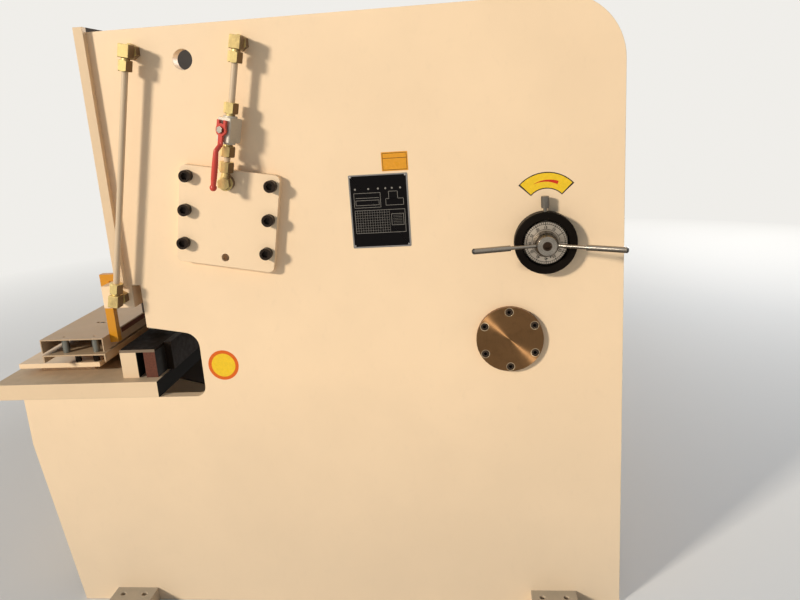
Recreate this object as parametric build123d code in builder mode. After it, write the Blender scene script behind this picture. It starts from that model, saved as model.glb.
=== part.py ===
"""Swing beam shear: a hydraulic plate shear whose upper blade swings about two pivots.

X runs along the cutting line (right end positive), Y to the rear, Z up.
The origin lies on the floor, in the middle of the foundation bolts.
"""

from build123d import *
import os
from math import acos, atan2, cos, degrees, hypot, pi, radians, sin, sqrt, tan

os.makedirs("parts", exist_ok=True)


# Driving dimensions of the frame, in millimetres

frame_width = 2900.0  # over the outer faces of the two side plates
side_plate_t = 30.0
side_plate_h = 1600.0
rear_y = 790.0  # rear edge of the side plates
toe_y = -780.0  # front bottom corner
jaw_front_y = -850.0  # front of the lower jaw
jaw_straight_z = 510.0  # below this the front edge slopes back to the toe
bed_seat_z = 647.0  # top of the lower jaw, where the bed plate lies
throat_rear_y = -316.0
throat_mouth_z = 848.0  # height of the throat at its mouth
throat_top_r = 42.0
throat_low_r = 28.0
nose_y = -455.0  # front of the upper jaw, below the front plate
nose_step = 36.0  # from the nose to the front edge above it
top_rear_r = 150.0

foot_pitch_y = 1220.0  # from front feet to rear feet
foot_w = 124.0
foot_reach = 75.0
foot_t = 40.0
foot_hole_r = 8.0
foot_hole_pitch = 65.0
foot_hole_out = 30.0  # hole centre from the side plate

front_plate_t = 24.0
front_plate_over = 17.0  # stands out past each side plate
front_plate_low_z = 965.0
front_plate_rise = 11.0  # above the side plates

lifting_hole_r = 24.5
lifting_hole_y = -258.0
lifting_hole_drop = 79.5  # below the top edge of the side plates

# Bed, blades and guard

bed_t = 45.0
bed_front_y = -936.0
bed_rear_y = -450.0
apron_t = 20.0
apron_y = -800.0
apron_low_z = 120.0

cut_y = -442.0  # rear face of the lower blade, where the sheet is cut
lower_blade_t = 20.0
lower_blade_h = 82.0
lower_blade_len = 2700.0
blade_plate_t = 34.0
bolt_gap = 20.0
seat_block_t = 48.0
edge_strip_t = 8.0
seat_end_gap = 5.0  # from the side plate's inner face
blade_bolt_count = 7
blade_bolt_pitch = 400.0
blade_bolt_r = 8.0
blade_bolt_af = 24.0
blade_bolt_head = 13.0
blade_bolt_z = 732.0

upper_blade_len = 2560.0
upper_blade_h = 80.0
upper_blade_t = 22.0
blade_gap = 0.4
blade_open = 14.0  # from the lower blade to the low end of the upper one
rake_angle = 1.5
relief_angle = 5.0

table_plate_len = 2740.0
table_plate_t = 14.0
table_plate_front_y = -900.0
table_plate_rear_y = -653.0
riser_t = 20.0
riser_inset = 40.0

guard_len = 2860.0
guard_front_y = -782.0
guard_rear_y = -598.0
guard_top_z = 815.0
guard_h = 39.0
guard_sheet = 3.0
guard_base_top_z = 770.0
guard_base_h = 22.0
guard_base_sheet = 4.0
guard_post_inset = 25.0
guard_post_r = 9.5
guard_post_front_y = -723.0
guard_post_rear_y = -634.0
guard_bolt_af = 15.0
guard_bolt_rows = 5
guard_hole_r = 4.0
guard_hole_deep = 20.0  # threaded holes in the tops of the posts
guard_slot_x = 1267.0
guard_slot_y = -683.0
guard_slot_len = 30.0
guard_slot_w = 11.0
guard_slot_bolt_r = 4.5
hanger_w = 24.0
hanger_t = 20.0
hanger_inset = 60.0
hanger_low_z = 791.0
hanger_rows = 5

# Hold-down

hold_beam_front_y = -565.0
hold_beam_rear_y = -480.0
hold_beam_low_z = 905.0
hold_count = 9
hold_pitch = 310.0
hold_y = -530.0
hold_body_r = 32.0
hold_body_h = 66.0
hold_bore_depth = 54.0
hold_rod_r = 20.0
hold_rod_in = 38.0
hold_foot_r = 24.0
hold_foot_h = 12.0
hold_lift = 14.0  # from the foot to the sheet line

# Pivot, swing beam and its drive

pivot_y = 508.0
pivot_z = 787.0
pivot_r = 45.0
pivot_len = 112.0
bush_r = 58.0
running_clear = 0.05
cover_disc_r = 85.0
cover_disc_t = 14.0
cover_screw_pcd = 145.0
cover_screw_r = 6.0
cover_screw_head_r = 9.0
cover_screw_head_h = 8.0
cover_screw_len = 18.0
screw_clear = 0.4

arm_t = 40.0
arm_hub_r = 95.0
arm_hub_extra = 8.0
arm_gap = 35.0  # from the side plate's inner face, where the sectors turn
beam_rear_y = -395.0
beam_top_z = 1150.0
beam_holder_lap = 8.0
beam_deck_z = 880.0
beam_deck_t = 20.0
beam_deck_rear_y = -160.0
beam_deck_len = 2480.0
beam_rib_t = 16.0
beam_rib_count = 6
beam_rib_pitch = 400.0
beam_rib_h = 230.0
arm_front_top_z = 905.0
arm_front_low_z = 815.0
pad_w = 70.0

cylinder_tilt = 10.0
cylinder_y = -186.3  # centre of the cover plate on the side plate
cylinder_z = 1142.4
cover_w = 255.0
cover_up = 112.0
cover_down = 135.0
cover_t = 22.0
cover_corner_r = 14.0
cover_screw_cols = 215.0
cover_screw_rows = 85.0
cylinder_screw_r = 10.0
cylinder_screw_head_r = 15.0
cylinder_screw_head_h = 20.0
cylinder_screw_socket_af = 17.0
cylinder_screw_socket_deep = 10.0
cylinder_screw_len = 44.0
sight_hole_r = 10.0
sight_hole_down = 111.0
cylinder_r = 72.0
cylinder_x_in = 87.0  # cylinder axis from the side plate's inner face
cylinder_up = 150.0
cylinder_down = 190.0
pad_t = 40.0
rod_r = 35.0
rod_tip_r = 30.0
rod_in = 150.0
contact_gap = 0.3

return_y = -60.0
return_r = 35.0
return_low_z = 480.0
return_top_z = 662.0
return_rod_r = 20.0
return_tip_r = 25.0
return_rod_in = 150.0
return_pad_w = 90.0

# Blade gap adjuster

gear_module = 6.0
pinion_teeth = 16
sector_teeth = 72
sector_cut_teeth = 13
gear_t = 18.0
gear_wall_gap = 6.0
gear_backlash = 0.4
dial_angle = 69.6  # direction from the pivot to the dial shaft
dial_ring_r = 76.0
dial_ring_in_r = 56.0
dial_ring_t = 32.0
dial_ring_chamfer = 2.0
dial_scale_r = 53.5
dial_scale_t = 12.0
dial_scale_front = 26.0
dial_scale_chamfer = 1.5
hub_r = 31.0
hub_face_r = 23.0
hub_dome_drop = 1.5
hub_front = 69.0
hub_socket_r = 8.0
hub_socket_deep = 10.0
handle_tilt = 22.5
handle_rest = 2.0
handle_out = 50.0
handle_root = 14.0  # depth of the sockets in the hub, from the dial axis
handle_thin_r = 4.5
handle_grip_r = 7.0
handle_step = 96.0
handle_reach = 192.0
handle_end_round = 5.0
shaft_r = 13.0
lock_x = 20.0
lock_stem_r = 4.5
lock_hole_over = 5.0  # the hole runs past both faces of the ring
lock_tip_gap = 0.5  # from the graduated disc, with the screw backed off
lock_stem_out = 9.0
lock_knob_r = 9.3
lock_knob_h = 28.0

# Pipework on the side plates

pipe_r = 8.0
pipe_bore_r = 6.0
pipe_out = 40.0  # pipe axis from the side plate
elbow_w = 28.0
elbow_h = 32.0
elbow_d = 32.0
elbow_chamfer = 1.5
union_af = 34.0
port_boss_r = 19.0  # round boss of the elbows on the cylinder covers
port_spout_r = 12.0
port_spout_reach = 22.0  # from the boss's axis
nut_af = 32.0
nut_h = 26.0
nut_corner = 2.4  # turned off the corners of the hexagon
nut_neck_r = 11.0
nut_neck_h = 5.0
port_y = -176.0
port_z = 1222.0
wall_elbow_y = -107.0
wall_elbow_z = 1547.0
hold_elbow_y = -379.0
hold_elbow_z = 1546.0
hold_end_z = 935.0
valve_turn = 20.0
valve_w = 38.0
valve_h = 57.0
valve_d = 46.0
valve_chamfer = 2.0
valve_collar_r = 17.0
valve_collar_h = 5.0
valve_low = 101.0
stem_r = 6.0
stem_out = 16.0
valve_ball_r = 14.0
lever_hub_r = 15.0
lever_t = 6.0
lever_prong_reach = 23.0  # the two stop prongs, from the stem's axis
lever_prong_w = 7.0
lever_prong_apart = 19.0
lever_bend = 36.0
lever_step = 14.0
lever_len = 138.0
lever_bar_r = 6.0
lever_grip_r = 7.4
lever_grip_at = 0.35  # the thickest place, as a share of the grip
lever_ball_r = 8.7
lever_nut_af = 15.0
lever_nut_h = 6.0

# Rear structure, power unit and back gauge

tie_y = 690.0
tie_d = 80.0
tie_low_z = 80.0
tie_h = 250.0
tie_t = 12.0
shelf_z = 1180.0
shelf_t = 15.0
shelf_front_y = 150.0
shelf_rear_y = 580.0
tank_len = 900.0
tank_x = -60.0
tank_h = 230.0
tank_margin = 25.0
tank_wall = 4.0
lid_t = 12.0
motor_r = 72.0
motor_len = 250.0
motor_foot_h = 10.0
pump_r = 48.0
pump_len = 130.0
manifold_len = 180.0
manifold_d = 120.0
manifold_h = 90.0
valve_body_w = 46.0
valve_body_h = 42.0
chute_t = 4.0
chute_side_gap = 30.0  # from the return cylinders

gauge_x = 900.0
rail_w = 50.0
rail_h = 50.0
rail_rear_y = 200.0
lug_t = 20.0
gauge_screw_r = 11.0
gauge_screw_drop = 22.0
gauge_bar_len = 2400.0
gauge_bar_t = 10.0
gauge_bar_foot = 60.0
gauge_bar_low_z = 780.0
gauge_face_y = -142.0
gauge_nut_w = 60.0
gauge_slide_clear = 0.5


# Values worked out from the driving dimensions

half_w = frame_width / 2
lifting_hole_z = side_plate_h - lifting_hole_drop
inner_x = half_w - side_plate_t
bed_top_z = bed_seat_z + bed_t
sheet_z = bed_top_z + lower_blade_h
seat_top_z = sheet_z - edge_strip_t
lower_blade_front_y = cut_y - lower_blade_t
blade_plate_front_y = lower_blade_front_y - blade_plate_t
seat_block_rear_y = blade_plate_front_y - bolt_gap
seat_half = inner_x - seat_end_gap
front_plate_rear_y = nose_y - nose_step
front_plate_front_y = front_plate_rear_y - front_plate_t
nose_drop = (throat_rear_y - nose_y) * tan(radians(cylinder_tilt))
tilt = radians(cylinder_tilt)
axis_y = sin(tilt)
axis_z = cos(tilt)
cylinder_x = inner_x - cylinder_x_in
arm_out_x = inner_x - arm_gap
arm_in_x = arm_out_x - arm_t

# The rod meets the arm where the radius from the pivot is square to the cylinder
rod_down = (cylinder_y - pivot_y) * axis_y + (cylinder_z - pivot_z) * axis_z
contact_y = cylinder_y - rod_down * axis_y
contact_z = cylinder_z - rod_down * axis_z

# The cutting edge lies on one cylinder about the pivot at both of its ends
edge_radius = pivot_y - cut_y - blade_gap
edge_low_z = sheet_z + blade_open
edge_rise = upper_blade_len * tan(radians(rake_angle))


def edge_y_at(z):
    """Y of the cutting edge where it is at height z."""
    return pivot_y - sqrt(edge_radius**2 - (z - pivot_z) ** 2)


def edge_point(x):
    """Cutting edge at x: a straight line between its two ends."""
    share = x / upper_blade_len + 0.5
    low_y = edge_y_at(edge_low_z)
    high_y = edge_y_at(edge_low_z + edge_rise)
    return low_y + share * (high_y - low_y), edge_low_z + share * edge_rise


gear_pitch_r = gear_module * pinion_teeth / 2
sector_pitch_r = gear_module * sector_teeth / 2
dial_distance = gear_pitch_r + sector_pitch_r
dial_y = pivot_y + dial_distance * cos(radians(dial_angle))
dial_z = pivot_z + dial_distance * sin(radians(dial_angle))
gear_out_x = inner_x - gear_wall_gap


def side_plane(x):
    """Plane across the machine at x: local x is the machine's Y, local y is its Z."""
    return Plane.YZ.offset(x)


def tilted_plane(x):
    """Plane on the cylinder's centre at x: local y runs up along the cylinder."""
    return Plane(
        origin=(x, cylinder_y, cylinder_z),
        x_dir=(0, axis_z, -axis_y),
        z_dir=(1, 0, 0),
    )


# Side plates

with BuildPart() as side_blank:
    with BuildSketch(side_plane(inner_x)) as side_outline:
        with BuildLine():
            Polyline(
                (rear_y, 0),
                (rear_y, side_plate_h),
                (front_plate_rear_y, side_plate_h),
                (front_plate_rear_y, front_plate_low_z),
                (nose_y, front_plate_low_z),
                (nose_y, throat_mouth_z),
                (throat_rear_y, throat_mouth_z - nose_drop),
                (throat_rear_y, bed_seat_z),
                (jaw_front_y, bed_seat_z),
                (jaw_front_y, jaw_straight_z),
                (toe_y, 0),
                close=True,
            )
        make_face()
        top_rear = side_outline.vertices().sort_by(Axis.Y)[-2:].sort_by(Axis.X)[-1]
        fillet(top_rear, top_rear_r)
        throat_top = side_outline.vertices().filter_by(lambda v: abs(v.X - throat_rear_y) < 0.1)
        fillet(throat_top.sort_by(Axis.Y)[-1], throat_top_r)
        throat_low = side_outline.vertices().filter_by(lambda v: abs(v.X - throat_rear_y) < 0.1)
        fillet(throat_low.sort_by(Axis.Y)[0], throat_low_r)
    extrude(amount=side_plate_t)
    with BuildSketch(side_plane(inner_x)):
        with Locations((lifting_hole_y, lifting_hole_z)):
            Circle(lifting_hole_r)
        with Locations((pivot_y, pivot_z)):
            Circle(bush_r + running_clear)
            with PolarLocations(cover_screw_pcd / 2, 6, start_angle=30):
                Circle(cover_screw_r)
        with Locations((dial_y, dial_z)):
            Circle(shaft_r + running_clear)
        with Locations((port_y, port_z), (wall_elbow_y, wall_elbow_z)):
            Circle(pipe_r)
    extrude(amount=side_plate_t, mode=Mode.SUBTRACT)
    with BuildSketch(tilted_plane(inner_x)):
        with GridLocations(cover_screw_cols, cover_screw_rows, 2, 3):
            Circle(cylinder_screw_r)
    extrude(amount=side_plate_t, mode=Mode.SUBTRACT)

with BuildPart() as side_plate_right:
    add(side_blank.part)
    with BuildSketch(side_plane(inner_x)):
        with Locations((hold_elbow_y, hold_elbow_z)):
            Circle(pipe_r)
    extrude(amount=side_plate_t, mode=Mode.SUBTRACT)
side_plate_right.part.label = "side_plate_right"
export_step(side_plate_right.part, "parts/side_plate_right.step")

with BuildPart() as side_plate_left:
    add(mirror(side_blank.part, about=Plane.YZ))
side_plate_left.part.label = "side_plate_left"
export_step(side_plate_left.part, "parts/side_plate_left.step")

# Feet, welded outside the side plates

with BuildPart() as foot_plates:
    for side in (-1, 1):
        with BuildSketch():
            with Locations((side * (half_w + foot_reach / 2), 0)):
                with GridLocations(0, foot_pitch_y, 1, 2):
                    Rectangle(foot_reach, foot_w)
            with Locations((side * (half_w + foot_hole_out), 0)):
                with GridLocations(0, foot_pitch_y, 1, 2):
                    with GridLocations(0, foot_hole_pitch, 1, 2):
                        Circle(foot_hole_r, mode=Mode.SUBTRACT)
        extrude(amount=foot_t)
foot_plates.part.label = "foot_plates"
export_step(foot_plates.part, "parts/foot_plates.step")

# Front plate across the heads of both side plates

with BuildPart() as front_plate:
    front_plate_top_z = side_plate_h + front_plate_rise
    with BuildSketch(Plane.XY.offset(front_plate_low_z)):
        with Locations((0, (front_plate_front_y + front_plate_rear_y) / 2)):
            Rectangle(frame_width + 2 * front_plate_over, front_plate_t)
    extrude(amount=front_plate_top_z - front_plate_low_z)
front_plate.part.label = "front_plate"
export_step(front_plate.part, "parts/front_plate.step")

# Bed plate on the lower jaws, and the apron that stiffens the front

with BuildPart() as bed_plate:
    with BuildSketch(Plane.XY.offset(bed_seat_z)):
        with Locations((0, (bed_front_y + bed_rear_y) / 2)):
            Rectangle(frame_width, bed_rear_y - bed_front_y)
    extrude(amount=bed_t)
bed_plate.part.label = "bed_plate"
export_step(bed_plate.part, "parts/bed_plate.step")

with BuildPart() as front_apron:
    with BuildSketch(Plane.XY.offset(apron_low_z)):
        with Locations((0, apron_y + apron_t / 2)):
            Rectangle(2 * inner_x, apron_t)
    extrude(amount=bed_seat_z - apron_low_z)
front_apron.part.label = "front_apron"
export_step(front_apron.part, "parts/front_apron.step")

# Blade seat: front block, bolt gap, blade plate and the hardened edge strip on top

with BuildPart() as seat_block:
    with BuildSketch(side_plane(-seat_half)):
        with Locations((seat_block_rear_y, bed_top_z)):
            Rectangle(seat_block_t, seat_top_z - bed_top_z, align=(Align.MAX, Align.MIN))
    extrude(amount=2 * seat_half)
seat_block.part.label = "seat_block"
export_step(seat_block.part, "parts/seat_block.step")

with BuildPart() as blade_plate:
    with BuildSketch(side_plane(-seat_half)):
        with Locations((lower_blade_front_y, bed_top_z)):
            Rectangle(blade_plate_t, seat_top_z - bed_top_z, align=(Align.MAX, Align.MIN))
    extrude(amount=2 * seat_half)
    with BuildSketch(Plane.XZ.offset(-blade_plate_front_y)):
        with Locations((0, blade_bolt_z)):
            with GridLocations(blade_bolt_pitch, 0, blade_bolt_count, 1):
                Circle(blade_bolt_r + screw_clear)
    extrude(amount=-blade_plate_t, mode=Mode.SUBTRACT)
blade_plate.part.label = "blade_plate"
export_step(blade_plate.part, "parts/blade_plate.step")

with BuildPart() as edge_strip:
    with BuildSketch(side_plane(-seat_half)):
        with Locations((lower_blade_front_y, seat_top_z)):
            Rectangle(
                seat_block_t + bolt_gap + blade_plate_t,
                edge_strip_t,
                align=(Align.MAX, Align.MIN),
            )
    extrude(amount=2 * seat_half)
edge_strip.part.label = "edge_strip"
export_step(edge_strip.part, "parts/edge_strip.step")

with BuildPart() as lower_blade:
    with BuildSketch(side_plane(-lower_blade_len / 2)):
        with Locations((cut_y, bed_top_z)):
            Rectangle(lower_blade_t, lower_blade_h, align=(Align.MAX, Align.MIN))
    extrude(amount=lower_blade_len)
lower_blade.part.label = "lower_blade"
export_step(lower_blade.part, "parts/lower_blade.step")

with BuildPart() as lower_blade_bolts:
    with BuildSketch(Plane.XZ.offset(-blade_plate_front_y)):
        with Locations((0, blade_bolt_z)):
            with GridLocations(blade_bolt_pitch, 0, blade_bolt_count, 1):
                RegularPolygon(blade_bolt_af / 2, 6, major_radius=False)
    extrude(amount=blade_bolt_head)
    with BuildSketch(Plane.XZ.offset(-blade_plate_front_y)):
        with Locations((0, blade_bolt_z)):
            with GridLocations(blade_bolt_pitch, 0, blade_bolt_count, 1):
                Circle(blade_bolt_r)
    extrude(amount=-blade_plate_t)
lower_blade_bolts.part.label = "lower_blade_bolts"
export_step(lower_blade_bolts.part, "parts/lower_blade_bolts.step")

# Front table plate on its riser

with BuildPart() as table_riser:
    with BuildSketch(Plane.XY.offset(bed_top_z)):
        with Locations((0, (table_plate_front_y + table_plate_rear_y) / 2)):
            Rectangle(
                table_plate_len - 2 * riser_inset,
                table_plate_rear_y - table_plate_front_y - 2 * riser_inset,
            )
    extrude(amount=riser_t)
table_riser.part.label = "table_riser"
export_step(table_riser.part, "parts/table_riser.step")

with BuildPart() as table_plate:
    with BuildSketch(Plane.XY.offset(bed_top_z + riser_t)):
        with Locations((0, (table_plate_front_y + table_plate_rear_y) / 2)):
            Rectangle(table_plate_len, table_plate_rear_y - table_plate_front_y)
    extrude(amount=table_plate_t)
table_plate.part.label = "table_plate"
export_step(table_plate.part, "parts/table_plate.step")
table_top_z = bed_top_z + riser_t + table_plate_t

# Finger guard: a folded channel on posts above a lower channel, held by yellow hangers


def channel_section(front, rear, top, height, sheet):
    """Inverted folded channel, seen from its end, drawn in the current sketch."""
    middle = (front + rear) / 2
    with Locations((middle, top)):
        Rectangle(rear - front, height, align=(Align.CENTER, Align.MAX))
    with Locations((middle, top - sheet)):
        Rectangle(
            rear - front - 2 * sheet,
            height - sheet,
            align=(Align.CENTER, Align.MAX),
            mode=Mode.SUBTRACT,
        )


guard_post_span = guard_len - 2 * guard_post_inset
guard_post_mid_y = (guard_post_front_y + guard_post_rear_y) / 2
guard_post_gap_y = guard_post_rear_y - guard_post_front_y

with BuildPart() as guard_channel:
    with BuildSketch(side_plane(-guard_len / 2)):
        channel_section(guard_front_y, guard_rear_y, guard_top_z, guard_h, guard_sheet)
    extrude(amount=guard_len)
    with BuildSketch(Plane.XY.offset(guard_top_z)):
        with Locations((0, guard_post_mid_y)):
            with GridLocations(guard_post_span, guard_post_gap_y, 2, 2):
                Circle(guard_hole_r)
        with Locations((0, guard_slot_y)):
            with GridLocations(2 * guard_slot_x, 0, 2, 1):
                SlotOverall(guard_slot_len, guard_slot_w, rotation=90)
    extrude(amount=-guard_sheet, mode=Mode.SUBTRACT)
guard_channel.part.label = "guard_channel"
export_step(guard_channel.part, "parts/guard_channel.step")

with BuildPart() as guard_base:
    with BuildSketch(side_plane(-guard_len / 2)):
        channel_section(
            guard_front_y, guard_rear_y, guard_base_top_z, guard_base_h, guard_base_sheet
        )
    extrude(amount=guard_len)
guard_base.part.label = "guard_base"
export_step(guard_base.part, "parts/guard_base.step")

with BuildPart() as guard_posts:
    with BuildSketch(Plane.XY.offset(guard_base_top_z)):
        with Locations((0, guard_post_mid_y)):
            with GridLocations(guard_post_span, guard_post_gap_y, 2, 2):
                Circle(guard_post_r)
    extrude(amount=guard_top_z - guard_sheet - guard_base_top_z)
    with BuildSketch(Plane.XY.offset(guard_top_z - guard_sheet)):
        with Locations((0, guard_post_mid_y)):
            with GridLocations(guard_post_span, guard_post_gap_y, 2, 2):
                Circle(guard_hole_r)
    extrude(amount=-guard_hole_deep, mode=Mode.SUBTRACT)
guard_posts.part.label = "guard_posts"
export_step(guard_posts.part, "parts/guard_posts.step")

with BuildPart() as guard_bolts:
    bolt_span = table_plate_len - 2 * guard_bolt_af
    bolt_pitch = bolt_span / (guard_bolt_rows - 1)
    bolt_rear_y = table_plate_rear_y - guard_bolt_af
    with BuildSketch(Plane.XY.offset(table_top_z)):
        with Locations((0, (guard_post_front_y + bolt_rear_y) / 2)):
            with GridLocations(
                bolt_pitch, bolt_rear_y - guard_post_front_y, guard_bolt_rows, 2
            ):
                RegularPolygon(guard_bolt_af / 2, 6, major_radius=False)
    extrude(amount=guard_base_top_z - guard_base_sheet - table_top_z)
    with BuildSketch(Plane.XY.offset(guard_base_top_z)):
        with Locations((0, guard_slot_y)):
            with GridLocations(2 * guard_slot_x, 0, 2, 1):
                Circle(guard_slot_bolt_r)
    extrude(amount=guard_top_z - guard_base_top_z)
guard_bolts.part.label = "guard_bolts"
export_step(guard_bolts.part, "parts/guard_bolts.step")

with BuildPart() as guard_hangers:
    hanger_x = guard_len / 2 - hanger_inset + hanger_t / 2
    hanger_top_z = front_plate_low_z + hanger_t
    hanger_step = 2 * hanger_x / (hanger_rows - 1)
    for row in range(hanger_rows):
        with BuildSketch(side_plane(-hanger_x + row * hanger_step - hanger_t / 2)):
            with Locations((guard_rear_y, hanger_low_z)):
                Rectangle(
                    hanger_w, hanger_top_z - hanger_low_z, align=(Align.MIN, Align.MIN)
                )
            with Locations((guard_rear_y, front_plate_low_z)):
                Rectangle(
                    front_plate_front_y - guard_rear_y,
                    hanger_t,
                    align=(Align.MIN, Align.MIN),
                )
        extrude(amount=hanger_t)
guard_hangers.part.label = "guard_hangers"
export_step(guard_hangers.part, "parts/guard_hangers.step")

# Hold-down beam with its row of cylinders

with BuildPart() as hold_down_beam:
    with BuildSketch(side_plane(-half_w)):
        with Locations((hold_beam_front_y, hold_beam_low_z)):
            Rectangle(
                hold_beam_rear_y - hold_beam_front_y,
                front_plate_low_z - hold_beam_low_z,
                align=(Align.MIN, Align.MIN),
            )
    extrude(amount=frame_width)
hold_down_beam.part.label = "hold_down_beam"
export_step(hold_down_beam.part, "parts/hold_down_beam.step")

hold_low_z = hold_beam_low_z - hold_body_h
with BuildPart() as hold_down_cylinders:
    with BuildSketch(Plane.XY.offset(hold_low_z)):
        with Locations((0, hold_y)):
            with GridLocations(hold_pitch, 0, hold_count, 1):
                Circle(hold_body_r)
    extrude(amount=hold_body_h)
    with BuildSketch(Plane.XY.offset(hold_low_z)):
        with Locations((0, hold_y)):
            with GridLocations(hold_pitch, 0, hold_count, 1):
                Circle(hold_rod_r + running_clear)
    extrude(amount=hold_bore_depth, mode=Mode.SUBTRACT)
hold_down_cylinders.part.label = "hold_down_cylinders"
export_step(hold_down_cylinders.part, "parts/hold_down_cylinders.step")

with BuildPart() as hold_down_plungers:
    foot_z = sheet_z + hold_lift
    with BuildSketch(Plane.XY.offset(foot_z)):
        with Locations((0, hold_y)):
            with GridLocations(hold_pitch, 0, hold_count, 1):
                Circle(hold_foot_r)
    extrude(amount=hold_foot_h)
    with BuildSketch(Plane.XY.offset(foot_z + hold_foot_h)):
        with Locations((0, hold_y)):
            with GridLocations(hold_pitch, 0, hold_count, 1):
                Circle(hold_rod_r)
    extrude(amount=hold_low_z + hold_rod_in - foot_z - hold_foot_h)
hold_down_plungers.part.label = "hold_down_plungers"
export_step(hold_down_plungers.part, "parts/hold_down_plungers.step")

# Swing beam: raked front plate, ribbed deck and two arms that turn on the pivots


def beam_front_section(x):
    """Section of the raked front plate at x."""
    edge_y, edge_z = edge_point(x)
    blade_back_y = edge_y + upper_blade_t
    with BuildSketch(side_plane(x)) as section:
        with BuildLine():
            Polyline(
                (blade_back_y, edge_z + beam_holder_lap),
                (beam_rear_y, edge_z + beam_holder_lap),
                (beam_rear_y, beam_top_z),
                (blade_back_y, beam_top_z),
                close=True,
            )
        make_face()
    return section.sketch


with BuildPart() as beam_arm:
    with BuildSketch(side_plane(arm_in_x)):
        with BuildLine():
            Line((beam_rear_y, arm_front_low_z), (beam_rear_y, arm_front_top_z))
            CenterArc((pivot_y, pivot_z), arm_hub_r, 0, 360)
        make_hull()
    extrude(amount=arm_t)
    with BuildSketch(side_plane(arm_in_x - arm_hub_extra)):
        with Locations((pivot_y, pivot_z)):
            Circle(arm_hub_r)
    extrude(amount=arm_t + 2 * arm_hub_extra)
    with BuildSketch(side_plane(cylinder_x - pad_w / 2)):
        with Locations(Location((contact_y, contact_z), -cylinder_tilt)):
            Rectangle(pad_w, pad_w / 2, align=(Align.CENTER, Align.MAX))
    extrude(amount=arm_out_x - cylinder_x + pad_w / 2)
    with BuildSketch(side_plane(arm_in_x - arm_hub_extra)):
        with Locations((pivot_y, pivot_z)):
            Circle(pivot_r + running_clear)
    extrude(amount=arm_t + 2 * arm_hub_extra, mode=Mode.SUBTRACT)

with BuildPart() as swing_beam:
    loft([beam_front_section(-arm_out_x), beam_front_section(arm_out_x)])
    with BuildSketch(Plane.XY.offset(beam_deck_z)):
        with Locations((0, beam_rear_y)):
            Rectangle(
                beam_deck_len, beam_deck_rear_y - beam_rear_y, align=(Align.CENTER, Align.MIN)
            )
    extrude(amount=beam_deck_t)
    for row in range(beam_rib_count):
        rib_x = (row - (beam_rib_count - 1) / 2) * beam_rib_pitch
        rib_z = beam_deck_z + beam_deck_t
        with BuildSketch(side_plane(rib_x - beam_rib_t / 2)):
            with BuildLine():
                Polyline(
                    (beam_rear_y, rib_z),
                    (beam_deck_rear_y, rib_z),
                    (beam_rear_y, rib_z + beam_rib_h),
                    close=True,
                )
            make_face()
        extrude(amount=beam_rib_t)
    add(beam_arm.part)
    add(mirror(beam_arm.part, about=Plane.YZ))
swing_beam.part.label = "swing_beam"
export_step(swing_beam.part, "parts/swing_beam.step")


def upper_blade_section(x):
    """Section of the upper blade at x, relieved behind its cutting edge."""
    edge_y, edge_z = edge_point(x)
    with BuildSketch(side_plane(x)) as section:
        with BuildLine():
            Polyline(
                (edge_y, edge_z),
                (edge_y + upper_blade_t, edge_z),
                (edge_y + upper_blade_t, edge_z + upper_blade_h),
                (
                    edge_y + upper_blade_h * tan(radians(relief_angle)),
                    edge_z + upper_blade_h,
                ),
                close=True,
            )
        make_face()
    return section.sketch


with BuildPart() as upper_blade:
    loft(
        [
            upper_blade_section(-upper_blade_len / 2),
            upper_blade_section(upper_blade_len / 2),
        ]
    )
upper_blade.part.label = "upper_blade"
export_step(upper_blade.part, "parts/upper_blade.step")

# Pivots: fixed shafts, eccentric bushes with gear sectors, and the cover discs outside


def tooth_points(teeth, centre_angle):
    """Outline points of one involute tooth, from its clockwise root to the other one."""
    pitch_r = gear_module * teeth / 2
    base_r = pitch_r * cos(radians(20))
    root_r = pitch_r - 1.25 * gear_module
    tip_r = pitch_r + gear_module
    start_r = max(base_r, root_r)
    half_pitch = pi / (2 * teeth) - gear_backlash / (4 * pitch_r)
    involute_pitch = tan(radians(20)) - radians(20)
    flank = []
    for step in range(4):
        radius = start_r + (tip_r - start_r) * step / 3
        pressure = acos(min(1.0, base_r / radius))
        half = half_pitch + involute_pitch - (tan(pressure) - pressure)
        flank.append((radius, half))
    if start_r > root_r:
        flank.insert(0, (root_r, flank[0][1]))
    centre = radians(centre_angle)
    down = [(r * cos(centre - h), r * sin(centre - h)) for r, h in flank]
    up = [(r * cos(centre + h), r * sin(centre + h)) for r, h in reversed(flank)]
    return down + up


def sector_outline():
    """Toothed arc towards the dial shaft, closed through the pivot."""
    points = [(0.0, 0.0)]
    for index in range(sector_cut_teeth):
        turn = (index - (sector_cut_teeth - 1) / 2) * 360 / sector_teeth
        points += tooth_points(sector_teeth, dial_angle + turn)
    return points


def pinion_outline():
    """Full ring of teeth, with a gap facing the pivot."""
    points = []
    for index in range(pinion_teeth):
        turn = (index + 0.5) * 360 / pinion_teeth
        points += tooth_points(pinion_teeth, dial_angle + 180 + turn)
    return points


with BuildPart() as pivot_shafts:
    with BuildSketch(side_plane(half_w - pivot_len)):
        with Locations((pivot_y, pivot_z)):
            Circle(pivot_r)
    extrude(amount=pivot_len)
    mirror(about=Plane.YZ)
pivot_shafts.part.label = "pivot_shafts"
export_step(pivot_shafts.part, "parts/pivot_shafts.step")

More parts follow.
